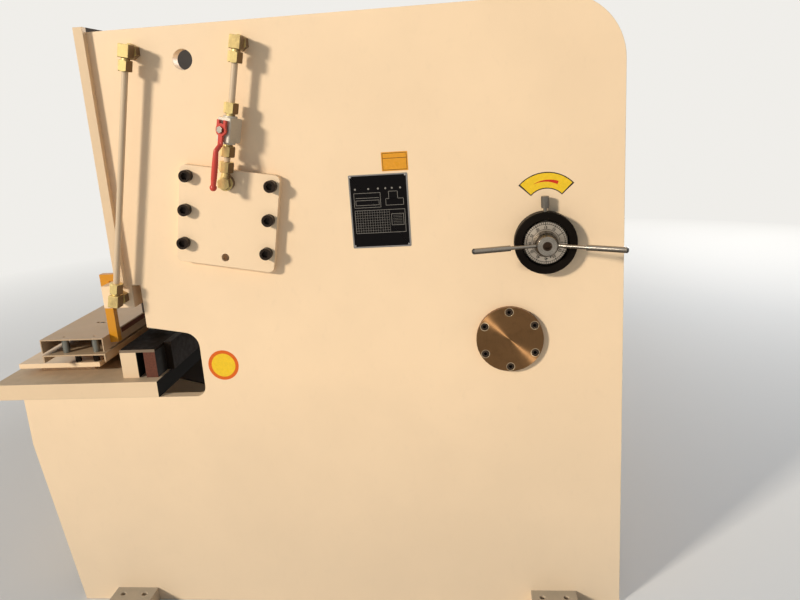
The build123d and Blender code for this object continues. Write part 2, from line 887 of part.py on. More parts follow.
with BuildPart() as eccentric_sectors:
    with BuildSketch(side_plane(gear_out_x - gear_t)):
        with BuildLine():
            Polyline(*[(pivot_y + y, pivot_z + z) for y, z in sector_outline()], close=True)
        make_face()
        with Locations((pivot_y, pivot_z)):
            Circle(bush_r + gear_wall_gap)
    extrude(amount=gear_t)
    with BuildSketch(side_plane(gear_out_x)):
        with Locations((pivot_y, pivot_z)):
            Circle(bush_r)
    extrude(amount=half_w - contact_gap - gear_out_x)
    with BuildSketch(side_plane(gear_out_x - gear_t)):
        with Locations((pivot_y, pivot_z)):
            Circle(pivot_r + running_clear)
    extrude(amount=half_w - gear_out_x + gear_t, mode=Mode.SUBTRACT)
    mirror(about=Plane.YZ)
eccentric_sectors.part.label = "eccentric_sectors"
export_step(eccentric_sectors.part, "parts/eccentric_sectors.step")

with BuildPart() as pivot_covers:
    with BuildSketch(side_plane(half_w)):
        with Locations((pivot_y, pivot_z)):
            Circle(cover_disc_r)
            with PolarLocations(cover_screw_pcd / 2, 6, start_angle=30):
                Circle(cover_screw_r + screw_clear, mode=Mode.SUBTRACT)
    extrude(amount=cover_disc_t)
    with BuildSketch(side_plane(half_w + cover_disc_t)):
        with Locations((pivot_y, pivot_z)):
            with PolarLocations(cover_screw_pcd / 2, 6, start_angle=30):
                Circle(cover_screw_head_r + 2 * screw_clear)
    extrude(amount=-cover_screw_head_h, mode=Mode.SUBTRACT)
    mirror(about=Plane.YZ)
pivot_covers.part.label = "pivot_covers"
export_step(pivot_covers.part, "parts/pivot_covers.step")

with BuildPart() as pivot_cover_screws:
    head_x = half_w + cover_disc_t - cover_screw_head_h
    with BuildSketch(side_plane(head_x)):
        with Locations((pivot_y, pivot_z)):
            with PolarLocations(cover_screw_pcd / 2, 6, start_angle=30):
                Circle(cover_screw_head_r)
    extrude(amount=cover_screw_head_h - screw_clear)
    with BuildSketch(side_plane(head_x)):
        with Locations((pivot_y, pivot_z)):
            with PolarLocations(cover_screw_pcd / 2, 6, start_angle=30):
                Circle(cover_screw_r - screw_clear)
    extrude(amount=-cover_screw_len)
    mirror(about=Plane.YZ)
pivot_cover_screws.part.label = "pivot_cover_screws"
export_step(pivot_cover_screws.part, "parts/pivot_cover_screws.step")

# Main cylinders behind their six-screw covers

cover_mid = (cover_up - cover_down) / 2
with BuildPart() as cylinder_covers:
    with BuildSketch(tilted_plane(half_w)):
        with Locations((0, cover_mid)):
            RectangleRounded(cover_w, cover_up + cover_down, cover_corner_r)
        with GridLocations(cover_screw_cols, cover_screw_rows, 2, 3):
            Circle(cylinder_screw_r + screw_clear, mode=Mode.SUBTRACT)
        with Locations((0, -sight_hole_down)):
            Circle(sight_hole_r, mode=Mode.SUBTRACT)
    extrude(amount=cover_t)
    mirror(about=Plane.YZ)
cylinder_covers.part.label = "cylinder_covers"
export_step(cylinder_covers.part, "parts/cylinder_covers.step")

with BuildPart() as cylinder_screws:
    head_x = half_w + cover_t
    with BuildSketch(tilted_plane(head_x)):
        with GridLocations(cover_screw_cols, cover_screw_rows, 2, 3):
            Circle(cylinder_screw_head_r)
    extrude(amount=cylinder_screw_head_h)
    with BuildSketch(tilted_plane(head_x + cylinder_screw_head_h)):
        with GridLocations(cover_screw_cols, cover_screw_rows, 2, 3):
            RegularPolygon(cylinder_screw_socket_af / 2, 6, major_radius=False)
    extrude(amount=-cylinder_screw_socket_deep, mode=Mode.SUBTRACT)
    with BuildSketch(tilted_plane(head_x)):
        with GridLocations(cover_screw_cols, cover_screw_rows, 2, 3):
            Circle(cylinder_screw_r - screw_clear)
    extrude(amount=-cylinder_screw_len)
    mirror(about=Plane.YZ)
cylinder_screws.part.label = "cylinder_screws"
export_step(cylinder_screws.part, "parts/cylinder_screws.step")

cylinder_plane = Plane(
    origin=(cylinder_x, cylinder_y, cylinder_z),
    x_dir=(1, 0, 0),
    z_dir=(0, axis_y, axis_z),
)
with BuildPart() as main_cylinders:
    with BuildSketch(cylinder_plane.offset(-cylinder_down)):
        Circle(cylinder_r)
    extrude(amount=cylinder_up + cylinder_down)
    with BuildSketch(tilted_plane(inner_x - pad_t)):
        with Locations((0, cover_mid)):
            Rectangle(cover_w, cover_up + cover_down)
    extrude(amount=pad_t)
    with BuildSketch(cylinder_plane.offset(-cylinder_down)):
        Circle(rod_r + running_clear)
    extrude(amount=rod_in + running_clear, mode=Mode.SUBTRACT)
    mirror(about=Plane.YZ)
main_cylinders.part.label = "main_cylinders"
export_step(main_cylinders.part, "parts/main_cylinders.step")

rod_foot = rod_down - contact_gap - rod_tip_r
with BuildPart() as piston_rods:
    with BuildSketch(cylinder_plane.offset(-rod_foot)):
        Circle(rod_tip_r)
    extrude(amount=rod_foot - cylinder_down - running_clear)
    with Locations(cylinder_plane.offset(-rod_foot).origin):
        Sphere(rod_tip_r)
    with BuildSketch(cylinder_plane.offset(-cylinder_down)):
        Circle(rod_r)
    extrude(amount=rod_in - 1.0)
    with BuildSketch(cylinder_plane.offset(-cylinder_down)):
        Circle(rod_tip_r)
    extrude(amount=-running_clear)
    mirror(about=Plane.YZ)
piston_rods.part.label = "piston_rods"
export_step(piston_rods.part, "parts/piston_rods.step")

# Return cylinders lift the arms

arm_mid_x = (arm_in_x + arm_out_x) / 2
arm_slope = 0.0
for _ in range(20):
    reach = pivot_y - beam_rear_y
    drop = arm_hub_r / cos(arm_slope)
    arm_slope = atan2(arm_front_low_z - pivot_z + drop, reach)
arm_under_z = pivot_z + (pivot_y - return_y) * tan(arm_slope) - arm_hub_r / cos(arm_slope)
return_tip_z = arm_under_z - (return_tip_r + contact_gap) / cos(arm_slope)

with BuildPart() as return_cylinders:
    with BuildSketch(Plane.XY.offset(return_low_z)):
        with Locations((arm_mid_x, return_y)):
            Circle(return_r)
            Rectangle(
                inner_x - arm_mid_x, return_pad_w / 2, align=(Align.MIN, Align.CENTER)
            )
    extrude(amount=return_top_z - return_low_z)
    with BuildSketch(Plane.XY.offset(return_top_z)):
        with Locations((arm_mid_x, return_y)):
            Circle(return_rod_r + running_clear)
    extrude(amount=-return_rod_in, mode=Mode.SUBTRACT)
    mirror(about=Plane.YZ)
return_cylinders.part.label = "return_cylinders"
export_step(return_cylinders.part, "parts/return_cylinders.step")

with BuildPart() as return_plungers:
    rod_low_z = return_top_z - return_rod_in + (return_top_z - return_low_z) / 3
    with BuildSketch(Plane.XY.offset(rod_low_z)):
        with Locations((arm_mid_x, return_y)):
            Circle(return_rod_r)
    extrude(amount=return_tip_z - rod_low_z)
    with Locations((arm_mid_x, return_y, return_tip_z)):
        Sphere(return_tip_r)
    mirror(about=Plane.YZ)
return_plungers.part.label = "return_plungers"
export_step(return_plungers.part, "parts/return_plungers.step")

# Blade gap adjuster: cross shaft, pinions and the dial on the right side plate

with BuildPart() as gap_shaft:
    with BuildSketch(side_plane(-half_w)):
        with Locations((dial_y, dial_z)):
            Circle(shaft_r)
    extrude(amount=frame_width + dial_scale_front - dial_scale_t)
gap_shaft.part.label = "gap_shaft"
export_step(gap_shaft.part, "parts/gap_shaft.step")

with BuildPart() as gap_pinions:
    with BuildSketch(side_plane(gear_out_x - gear_t)):
        with BuildLine():
            Polyline(*[(dial_y + y, dial_z + z) for y, z in pinion_outline()], close=True)
        make_face()
        with Locations((dial_y, dial_z)):
            Circle(shaft_r + running_clear, mode=Mode.SUBTRACT)
    extrude(amount=gear_t)
    mirror(about=Plane.YZ)
gap_pinions.part.label = "gap_pinions"
export_step(gap_pinions.part, "parts/gap_pinions.step")

with BuildPart() as dial_ring:
    with BuildSketch(side_plane(half_w)):
        with Locations((dial_y, dial_z)):
            Circle(dial_ring_r)
            Circle(dial_ring_in_r, mode=Mode.SUBTRACT)
    extrude(amount=dial_ring_t)
    chamfer(dial_ring.faces().sort_by(Axis.X)[-1].edges(), dial_ring_chamfer)
    with BuildSketch(Plane.XY.offset(dial_z + dial_ring_in_r - lock_hole_over)):
        with Locations((half_w + lock_x, dial_y)):
            Circle(lock_stem_r + running_clear)
    extrude(amount=dial_ring_r - dial_ring_in_r + 2 * lock_hole_over, mode=Mode.SUBTRACT)
dial_ring.part.label = "dial_ring"
export_step(dial_ring.part, "parts/dial_ring.step")

with BuildPart() as dial_scale:
    with BuildSketch(side_plane(half_w + dial_scale_front - dial_scale_t)):
        with Locations((dial_y, dial_z)):
            Circle(dial_scale_r)
    extrude(amount=dial_scale_t)
    chamfer(dial_scale.faces().sort_by(Axis.X)[-1].edges(), dial_scale_chamfer)
dial_scale.part.label = "dial_scale"
export_step(dial_scale.part, "parts/dial_scale.step")

handle_x = half_w + handle_out


def handle_plane(side, distance):
    """Plane square to a handle, at a distance along it from the dial axis."""
    lean = radians(handle_tilt)
    turn = radians(handle_rest)
    rear = side * cos(lean)
    direction = Vector(sin(lean), rear * cos(turn), -rear * sin(turn))
    start = Vector(handle_x, dial_y, dial_z)
    return Plane(origin=start + direction * distance, z_dir=direction)


with BuildPart() as hub_blank:
    with BuildSketch(Plane.XY):
        with BuildLine():
            foot_point = (half_w + dial_scale_front, 0)
            rim_point = (half_w + dial_scale_front, hub_r)
            dome_point = (handle_x, hub_r - hub_dome_drop)
            face_point = (half_w + hub_front, hub_face_r)
            Line(foot_point, rim_point)
            ThreePointArc(rim_point, dome_point, face_point)
            Line(face_point, (half_w + hub_front, 0))
            Line((half_w + hub_front, 0), foot_point)
        make_face()
    revolve(axis=Axis.X)

with BuildPart() as dial_hub:
    with Locations((0, dial_y, dial_z)):
        add(hub_blank.part)
    with BuildSketch(side_plane(half_w + hub_front)):
        with Locations((dial_y, dial_z)):
            RegularPolygon(hub_socket_r, 6)
    extrude(amount=-hub_socket_deep, mode=Mode.SUBTRACT)
    for side in (-1, 1):
        with BuildSketch(handle_plane(side, handle_root)):
            Circle(handle_thin_r + running_clear)
        extrude(amount=hub_r, mode=Mode.SUBTRACT)
dial_hub.part.label = "dial_hub"
export_step(dial_hub.part, "parts/dial_hub.step")

with BuildPart() as dial_handles:
    for side in (-1, 1):
        with BuildSketch(handle_plane(side, handle_root)):
            Circle(handle_thin_r)
        extrude(amount=handle_step - handle_root)
        with BuildSketch(handle_plane(side, handle_step)):
            Circle(handle_grip_r)
        extrude(amount=handle_reach - handle_step)
        tip = handle_plane(side, handle_reach).origin
        fillet(dial_handles.faces().sort_by_distance(tip)[0].edges(), handle_end_round)
dial_handles.part.label = "dial_handles"
export_step(dial_handles.part, "parts/dial_handles.step")

with BuildPart() as lock_screw:
    lock_low_z = dial_z + dial_scale_r + lock_tip_gap
    with BuildSketch(Plane.XY.offset(lock_low_z)):
        with Locations((half_w + lock_x, dial_y)):
            Circle(lock_stem_r)
    extrude(amount=dial_z + dial_ring_r + lock_stem_out - lock_low_z)
    with BuildSketch(Plane.XY.offset(dial_z + dial_ring_r + lock_stem_out)):
        with Locations((half_w + lock_x, dial_y)):
            Circle(lock_knob_r)
    extrude(amount=lock_knob_h)
lock_screw.part.label = "lock_screw"
export_step(lock_screw.part, "parts/lock_screw.step")

# Pipework: brass elbows, nuts, pipes and the shut-off valve

pipe_x = half_w + pipe_out
run_dy = wall_elbow_y - port_y
run_dz = wall_elbow_z - port_z
run_len = hypot(run_dy, run_dz)
run_dir = (0, run_dy / run_len, run_dz / run_len)
hold_end_y = hold_elbow_y - (hold_elbow_z - hold_end_z) * run_dy / run_dz
hold_run_len = hypot(hold_elbow_y - hold_end_y, hold_elbow_z - hold_end_z)


def run_plane(y, z, side=1):
    """Plane at a fitting, square to the pipe: local x points away from the machine."""
    return Plane(origin=(side * pipe_x, y, z), x_dir=(side, 0, 0), z_dir=run_dir)


def elbow(y, z, end_x, side=1):
    """Brass elbow block with its hexagonal union reaching in to end_x."""
    back = pipe_out - elbow_d / 2
    with BuildPart() as fitting:
        with BuildSketch(run_plane(y, z, side).offset(-elbow_h / 2)):
            Rectangle(elbow_d, elbow_w)
        extrude(amount=elbow_h)
        chamfer(fitting.edges(), elbow_chamfer)
        with BuildSketch(Plane(origin=(side * (half_w + back), y, z), z_dir=(-side, 0, 0))):
            RegularPolygon(union_af / 2, 6, major_radius=False)
        extrude(amount=half_w + back - end_x)
    return fitting.part


def port_elbow(side=1):
    """Elbow on a cylinder cover: a round boss, a hexagonal plug in front and a spout."""
    boss_plane = Plane(
        origin=(side * (half_w + cover_t), port_y, port_z), x_dir=(0, 1, 0), z_dir=(side, 0, 0)
    )
    with BuildPart() as fitting:
        with BuildSketch(boss_plane):
            Circle(port_boss_r)
        extrude(amount=pipe_out - cover_t)
        with BuildSketch(boss_plane.offset(pipe_out - cover_t)):
            RegularPolygon(elbow_w / 2, 6, major_radius=False, rotation=30)
        extrude(amount=elbow_d / 2)
        with BuildSketch(run_plane(port_y, port_z, side)):
            Circle(port_spout_r)
        extrude(amount=port_spout_reach)
    return fitting.part


with BuildPart() as brass_elbows:
    add(elbow(hold_elbow_y, hold_elbow_z, half_w))
    add(elbow(hold_end_y, hold_end_z, half_w))
    add(elbow(wall_elbow_y, wall_elbow_z, half_w))
    add(port_elbow())
    add(elbow(wall_elbow_y, wall_elbow_z, half_w, side=-1))
    add(port_elbow(side=-1))
brass_elbows.part.label = "brass_elbows"
export_step(brass_elbows.part, "parts/brass_elbows.step")


def pipe_nut(plane, at, neck_up):
    """Union nut on a pipe; its round neck points up the pipe or down it."""
    neck_at = at + nut_h if neck_up else at - nut_neck_h
    with BuildPart() as nut:
        with BuildSketch(plane.offset(at)):
            RegularPolygon(nut_af / 2, 6, major_radius=False, rotation=30)
        extrude(amount=nut_h)
        with BuildPart(plane.offset(at), mode=Mode.INTERSECT) as nut_round:
            Cylinder(nut_af / sqrt(3), nut_h, align=(Align.CENTER, Align.CENTER, Align.MIN))
            chamfer(nut_round.edges().filter_by(GeomType.CIRCLE), nut_corner)
        with BuildSketch(plane.offset(neck_at)):
            Circle(nut_neck_r)
        extrude(amount=nut_neck_h)
        with BuildSketch(plane.offset(at - nut_neck_h)):
            Circle(pipe_r + running_clear)
        extrude(amount=nut_h + 2 * nut_neck_h, mode=Mode.SUBTRACT)
    return nut.part


port_plane = run_plane(port_y, port_z)
left_port_plane = run_plane(port_y, port_z, side=-1)
hold_end_plane = run_plane(hold_end_y, hold_end_z)
nut_low = elbow_h / 2 + nut_neck_h
port_nut_low = port_spout_reach + nut_neck_h
valve_top = valve_low + valve_h
top_nut = run_len - nut_low - nut_h

with BuildPart() as pipe_nuts:
    add(pipe_nut(port_plane, port_nut_low, False))
    add(pipe_nut(port_plane, valve_low - valve_collar_h - nut_neck_h - nut_h, True))
    add(pipe_nut(port_plane, valve_top + valve_collar_h + nut_neck_h, False))
    add(pipe_nut(port_plane, top_nut, True))
    add(pipe_nut(left_port_plane, port_nut_low, False))
    add(pipe_nut(left_port_plane, top_nut, True))
    add(pipe_nut(hold_end_plane, nut_low, False))
    add(pipe_nut(hold_end_plane, hold_run_len - nut_low - nut_h, True))
pipe_nuts.part.label = "pipe_nuts"
export_step(pipe_nuts.part, "parts/pipe_nuts.step")

with BuildPart() as cylinder_pipes:
    with BuildSketch(port_plane.offset(port_spout_reach)):
        Circle(pipe_r)
    extrude(amount=valve_low - valve_collar_h - port_spout_reach)
    with BuildSketch(port_plane.offset(valve_top + valve_collar_h)):
        Circle(pipe_r)
    extrude(amount=run_len - elbow_h / 2 - valve_top - valve_collar_h)
    with BuildSketch(left_port_plane.offset(port_spout_reach)):
        Circle(pipe_r)
    extrude(amount=run_len - elbow_h / 2 - port_spout_reach)
cylinder_pipes.part.label = "cylinder_pipes"
export_step(cylinder_pipes.part, "parts/cylinder_pipes.step")

with BuildPart() as hold_down_pipe:
    with BuildSketch(hold_end_plane.offset(elbow_h / 2)):
        Circle(pipe_r)
    extrude(amount=hold_run_len - elbow_h)
hold_down_pipe.part.label = "hold_down_pipe"
export_step(hold_down_pipe.part, "parts/hold_down_pipe.step")

turn = radians(valve_turn)
stem_dir = Vector(cos(turn), -sin(turn) * run_dir[2], sin(turn) * run_dir[1])
valve_origin = port_plane.offset(valve_low + valve_h / 2).origin
valve_plane = Plane(origin=valve_origin, x_dir=stem_dir, z_dir=run_dir)
stem_plane = Plane(origin=valve_origin, x_dir=valve_plane.z_dir * -1, z_dir=stem_dir)

with BuildPart() as valve_block:
    with BuildSketch(valve_plane.offset(-valve_h / 2)):
        Rectangle(valve_d, valve_w)
    extrude(amount=valve_h)
    chamfer(valve_block.edges().filter_by(Axis(valve_plane.origin, valve_plane.z_dir)), valve_chamfer)
    with BuildSketch(valve_plane.offset(-valve_h / 2 - valve_collar_h)):
        Circle(valve_collar_r)
    extrude(amount=valve_h + 2 * valve_collar_h)
    with BuildSketch(valve_plane.offset(-valve_h / 2 - valve_collar_h)):
        Circle(pipe_bore_r)
    extrude(amount=valve_h + 2 * valve_collar_h, mode=Mode.SUBTRACT)
    with BuildSketch(stem_plane):
        Circle(stem_r + running_clear)
    extrude(amount=valve_d / 2, mode=Mode.SUBTRACT)
    with Locations(valve_plane.origin):
        Sphere(valve_ball_r + running_clear, mode=Mode.SUBTRACT)
valve_block.part.label = "valve_block"
export_step(valve_block.part, "parts/valve_block.step")

with BuildPart() as valve_stem:
    with Locations(valve_plane.origin):
        Sphere(valve_ball_r)
    with BuildSketch(stem_plane):
        Circle(stem_r)
    extrude(amount=valve_d / 2 + stem_out)
    with BuildSketch(valve_plane.offset(-valve_ball_r)):
        Circle(pipe_bore_r)
    extrude(amount=2 * valve_ball_r, mode=Mode.SUBTRACT)
valve_stem.part.label = "valve_stem"
export_step(valve_stem.part, "parts/valve_stem.step")

lever_seat = valve_d / 2 + stem_out - lever_nut_h - lever_t
with BuildPart() as valve_lever:
    with BuildSketch(stem_plane.offset(lever_seat)):
        Circle(lever_hub_r)
        with Locations((-lever_prong_reach / 2, 0)):
            with GridLocations(0, lever_prong_apart, 1, 2):
                Rectangle(lever_prong_reach, lever_prong_w)
        with Locations((lever_bend / 2, 0)):
            Rectangle(lever_bend, lever_bar_r * 2)
        Circle(stem_r + running_clear, mode=Mode.SUBTRACT)
    extrude(amount=lever_t)
    bar_mid = lever_seat + lever_t / 2
    bend_low = stem_plane.from_local_coords((lever_bend, 0, bar_mid))
    bend_high = stem_plane.from_local_coords(
        (lever_bend + lever_step, 0, bar_mid + lever_step)
    )
    bar_end = stem_plane.from_local_coords((lever_len, 0, bar_mid + lever_step))
    with BuildSketch(Plane(origin=bend_low, z_dir=bend_high - bend_low)):
        Circle(lever_bar_r)
    extrude(amount=(bend_high - bend_low).length)
    with Locations(bend_low, bend_high):
        Sphere(lever_bar_r)
    grip = bar_end - bend_high
    for share, radius in (0.0, lever_bar_r), (lever_grip_at, lever_grip_r), (1.0, lever_bar_r):
        with BuildSketch(Plane(origin=bend_high + grip * share, z_dir=grip)):
            Circle(radius)
    loft()
    with Locations(bar_end):
        Sphere(lever_ball_r)
valve_lever.part.label = "valve_lever"
export_step(valve_lever.part, "parts/valve_lever.step")

with BuildPart() as lever_nut:
    with BuildSketch(stem_plane.offset(lever_seat + lever_t)):
        RegularPolygon(lever_nut_af / 2, 6, major_radius=False)
        Circle(stem_r + running_clear, mode=Mode.SUBTRACT)
    extrude(amount=lever_nut_h)
lever_nut.part.label = "lever_nut"
export_step(lever_nut.part, "parts/lever_nut.step")

# Rear tie, shelf, drop chute and power unit

with BuildPart() as rear_tie:
    with BuildSketch(side_plane(-inner_x)):
        with Locations((tie_y, tie_low_z)):
            Rectangle(tie_d, tie_h, align=(Align.MIN, Align.MIN))
        with Locations((tie_y + tie_t, tie_low_z + tie_t)):
            Rectangle(
                tie_d - tie_t, tie_h - 2 * tie_t, align=(Align.MIN, Align.MIN), mode=Mode.SUBTRACT
            )
    extrude(amount=2 * inner_x)
rear_tie.part.label = "rear_tie"
export_step(rear_tie.part, "parts/rear_tie.step")

shelf_mid_y = (shelf_front_y + shelf_rear_y) / 2
with BuildPart() as tank_shelf:
    with BuildSketch(Plane.XY.offset(shelf_z)):
        with Locations((0, shelf_mid_y)):
            Rectangle(2 * inner_x, shelf_rear_y - shelf_front_y)
    extrude(amount=shelf_t)
tank_shelf.part.label = "tank_shelf"
export_step(tank_shelf.part, "parts/tank_shelf.step")

with BuildPart() as drop_chute:
    chute_low_y = tie_y + tie_d / 2
    chute_low_z = tie_low_z + tie_h
    chute_lip_y = bed_rear_y - 2 * tie_t
    chute_half = arm_mid_x - return_r - chute_side_gap
    with BuildSketch(side_plane(-chute_half)):
        with BuildLine():
            Polyline(
                (chute_lip_y, bed_seat_z),
                (bed_rear_y, bed_seat_z),
                (tie_y, chute_low_z + chute_t),
                (chute_low_y, chute_low_z + chute_t),
                (chute_low_y, chute_low_z),
                (tie_y, chute_low_z),
                (bed_rear_y, bed_seat_z - chute_t),
                (chute_lip_y, bed_seat_z - chute_t),
                close=True,
            )
        make_face()
    extrude(amount=2 * chute_half)
drop_chute.part.label = "drop_chute"
export_step(drop_chute.part, "parts/drop_chute.step")

tank_low_z = shelf_z + shelf_t
tank_top_z = tank_low_z + tank_h
tank_d = shelf_rear_y - shelf_front_y - 2 * tank_margin
with BuildPart() as oil_tank:
    with BuildSketch(Plane.XY.offset(tank_low_z)):
        with Locations((tank_x, shelf_mid_y)):
            Rectangle(tank_len, tank_d)
    extrude(amount=tank_h)
    offset(amount=-tank_wall, openings=oil_tank.faces().sort_by(Axis.Z)[-1])
oil_tank.part.label = "oil_tank"
export_step(oil_tank.part, "parts/oil_tank.step")

with BuildPart() as tank_lid:
    with BuildSketch(Plane.XY.offset(tank_top_z)):
        with Locations((tank_x, shelf_mid_y)):
            Rectangle(tank_len + 2 * tank_wall, tank_d + 2 * tank_wall)
    extrude(amount=lid_t)
tank_lid.part.label = "tank_lid"
export_step(tank_lid.part, "parts/tank_lid.step")

lid_z = tank_top_z + lid_t
motor_z = lid_z + motor_foot_h + motor_r
motor_x = tank_x - tank_len / 2 + motor_len / 2 + 2 * tank_margin
with BuildPart() as motor:
    with BuildSketch(side_plane(motor_x - motor_len / 2)):
        with Locations((shelf_mid_y, motor_z)):
            Circle(motor_r)
    extrude(amount=motor_len)
    with BuildSketch(Plane.XY.offset(lid_z)):
        with Locations((motor_x, shelf_mid_y)):
            Rectangle(motor_len * 0.6, motor_r * 1.8)
    extrude(amount=motor_foot_h + motor_r / 2)
motor.part.label = "motor"
export_step(motor.part, "parts/motor.step")

with BuildPart() as pump:
    with BuildSketch(side_plane(motor_x + motor_len / 2)):
        with Locations((shelf_mid_y, motor_z)):
            Circle(motor_r)
    extrude(amount=pump_len / 2)
    with BuildSketch(side_plane(motor_x + motor_len / 2 + pump_len / 2)):
        with Locations((shelf_mid_y, motor_z)):
            Circle(pump_r)
    extrude(amount=pump_len)
pump.part.label = "pump"
export_step(pump.part, "parts/pump.step")

manifold_x = tank_x + tank_len / 2 - manifold_len / 2 - 2 * tank_margin
with BuildPart() as manifold:
    with BuildSketch(Plane.XY.offset(lid_z)):
        with Locations((manifold_x, shelf_mid_y)):
            Rectangle(manifold_len, manifold_d)
    extrude(amount=manifold_h)
    with BuildSketch(Plane.XY.offset(lid_z + manifold_h)):
        with Locations((manifold_x, shelf_mid_y)):
            with GridLocations(manifold_len / 2, 0, 2, 1):
                Rectangle(valve_body_w, manifold_d * 0.8)
    extrude(amount=valve_body_h)
manifold.part.label = "manifold"
export_step(manifold.part, "parts/manifold.step")

# Back gauge under the beam's deck

rail_low_z = beam_deck_z - rail_h
screw_z = rail_low_z - gauge_screw_drop
lug_low_z = screw_z - 1.6 * gauge_screw_r
rail_front_y = beam_rear_y

with BuildPart() as gauge_rails:
    with BuildSketch(Plane.XY.offset(rail_low_z)):
        with GridLocations(2 * gauge_x, 0, 2, 1):
            with Locations((0, rail_front_y)):
                Rectangle(rail_w, rail_rear_y - rail_front_y, align=(Align.CENTER, Align.MIN))
    extrude(amount=rail_h)
    with BuildSketch(Plane.XY.offset(lug_low_z)):
        with GridLocations(2 * gauge_x, 0, 2, 1):
            with Locations((0, rail_front_y)):
                Rectangle(rail_w, lug_t, align=(Align.CENTER, Align.MIN))
            with Locations((0, rail_rear_y)):
                Rectangle(rail_w, lug_t, align=(Align.CENTER, Align.MAX))
    extrude(amount=rail_low_z - lug_low_z)
    with BuildSketch(Plane.XZ.offset(-rail_front_y)):
        with Locations((0, screw_z)):
            with GridLocations(2 * gauge_x, 0, 2, 1):
                Circle(gauge_screw_r + running_clear)
    extrude(amount=rail_front_y - rail_rear_y, mode=Mode.SUBTRACT)
gauge_rails.part.label = "gauge_rails"
export_step(gauge_rails.part, "parts/gauge_rails.step")


def gauge_screw(side):
    """Lead screw of the back gauge, turning in the rail's two lugs."""
    with BuildPart() as screw:
        with BuildSketch(Plane.XZ.offset(-rail_front_y)):
            with Locations((side * gauge_x, screw_z)):
                Circle(gauge_screw_r)
        extrude(amount=rail_front_y - rail_rear_y - lug_t)
    return screw.part


with BuildPart() as gauge_screw_right:
    add(gauge_screw(1))
gauge_screw_right.part.label = "gauge_screw_right"
export_step(gauge_screw_right.part, "parts/gauge_screw_right.step")

with BuildPart() as gauge_screw_left:
    add(gauge_screw(-1))
gauge_screw_left.part.label = "gauge_screw_left"
export_step(gauge_screw_left.part, "parts/gauge_screw_left.step")

with BuildPart() as gauge_bar:
    bar_top_z = rail_low_z - gauge_slide_clear
    with BuildSketch(side_plane(-gauge_bar_len / 2)):
        with Locations((gauge_face_y, gauge_bar_low_z)):
            Rectangle(
                gauge_bar_t, bar_top_z - gauge_bar_low_z, align=(Align.MIN, Align.MIN)
            )
        with Locations((gauge_face_y, bar_top_z)):
            Rectangle(gauge_bar_foot, gauge_bar_t, align=(Align.MIN, Align.MAX))
    extrude(amount=gauge_bar_len)
    with BuildSketch(Plane.XZ.offset(-gauge_face_y)):
        with Locations((0, bar_top_z)):
            with GridLocations(2 * gauge_x, 0, 2, 1):
                Rectangle(
                    rail_w, bar_top_z - lug_low_z, align=(Align.CENTER, Align.MAX)
                )
    extrude(amount=-gauge_nut_w)
    with BuildSketch(Plane.XZ.offset(-gauge_face_y)):
        with Locations((0, screw_z)):
            with GridLocations(2 * gauge_x, 0, 2, 1):
                Circle(gauge_screw_r + running_clear)
    extrude(amount=-gauge_nut_w, mode=Mode.SUBTRACT)
gauge_bar.part.label = "gauge_bar"
export_step(gauge_bar.part, "parts/gauge_bar.step")
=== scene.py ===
"""Swing beam shear: paint, metal finishes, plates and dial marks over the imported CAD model.

Run as a script. Sizes are in metres, in the frame of the CAD model: X runs along the blades,
Y runs from the feeding table to the rear, and Z is up.
"""
import math

import bmesh
import bpy
from bpy.props import FloatProperty, FloatVectorProperty, IntProperty, PointerProperty
from mathutils import Matrix, Vector


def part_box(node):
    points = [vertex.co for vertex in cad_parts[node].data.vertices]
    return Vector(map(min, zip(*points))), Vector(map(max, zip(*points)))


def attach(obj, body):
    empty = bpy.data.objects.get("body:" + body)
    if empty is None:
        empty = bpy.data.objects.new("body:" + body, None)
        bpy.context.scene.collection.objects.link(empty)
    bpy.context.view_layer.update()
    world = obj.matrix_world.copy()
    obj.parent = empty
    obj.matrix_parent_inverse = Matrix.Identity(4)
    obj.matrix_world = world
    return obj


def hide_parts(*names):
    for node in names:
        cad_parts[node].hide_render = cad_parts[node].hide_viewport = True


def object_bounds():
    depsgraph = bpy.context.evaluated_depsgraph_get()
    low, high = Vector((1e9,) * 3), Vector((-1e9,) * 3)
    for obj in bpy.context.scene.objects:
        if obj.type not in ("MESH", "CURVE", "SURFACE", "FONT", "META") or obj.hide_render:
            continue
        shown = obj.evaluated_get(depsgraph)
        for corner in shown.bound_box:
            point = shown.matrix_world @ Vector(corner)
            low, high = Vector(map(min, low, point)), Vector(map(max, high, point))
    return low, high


bl_info = {
    "name": "Swing beam shear",
    "version": (1, 0, 0),
    "blender": (4, 5, 0),
    "location": "View3D > Sidebar > Shear",
    "description": "Dresses the CAD model of a swing beam shear and sets its studio",
    "category": "Object",
}

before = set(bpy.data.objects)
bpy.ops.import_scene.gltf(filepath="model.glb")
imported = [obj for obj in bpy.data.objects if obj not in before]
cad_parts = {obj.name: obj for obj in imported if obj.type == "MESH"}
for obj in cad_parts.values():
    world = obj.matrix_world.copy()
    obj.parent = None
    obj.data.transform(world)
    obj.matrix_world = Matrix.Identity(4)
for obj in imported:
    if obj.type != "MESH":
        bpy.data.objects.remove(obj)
cad_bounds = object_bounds()


def middle(node):
    """Centre of a CAD node's box at rest."""
    low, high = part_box(node)
    return (low + high) / 2


def half_across(node):
    """Half of a CAD node's width along Y."""
    low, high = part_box(node)
    return (high.y - low.y) / 2


wall_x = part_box("side_plate_right")[1].x
dial = middle("dial_scale")
dial_face_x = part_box("dial_scale")[1].x
cover_face_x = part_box("cylinder_covers")[1].x
dial_outer_r = half_across("dial_scale")
dial_inner_r = half_across("dial_hub")
pivot = middle("pivot_covers")
bed_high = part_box("bed_plate")[1]
guard_low, guard_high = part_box("guard_channel")
upright = Matrix.Identity(4)
film_height, print_height = 0.0002, 0.00006


# Settings

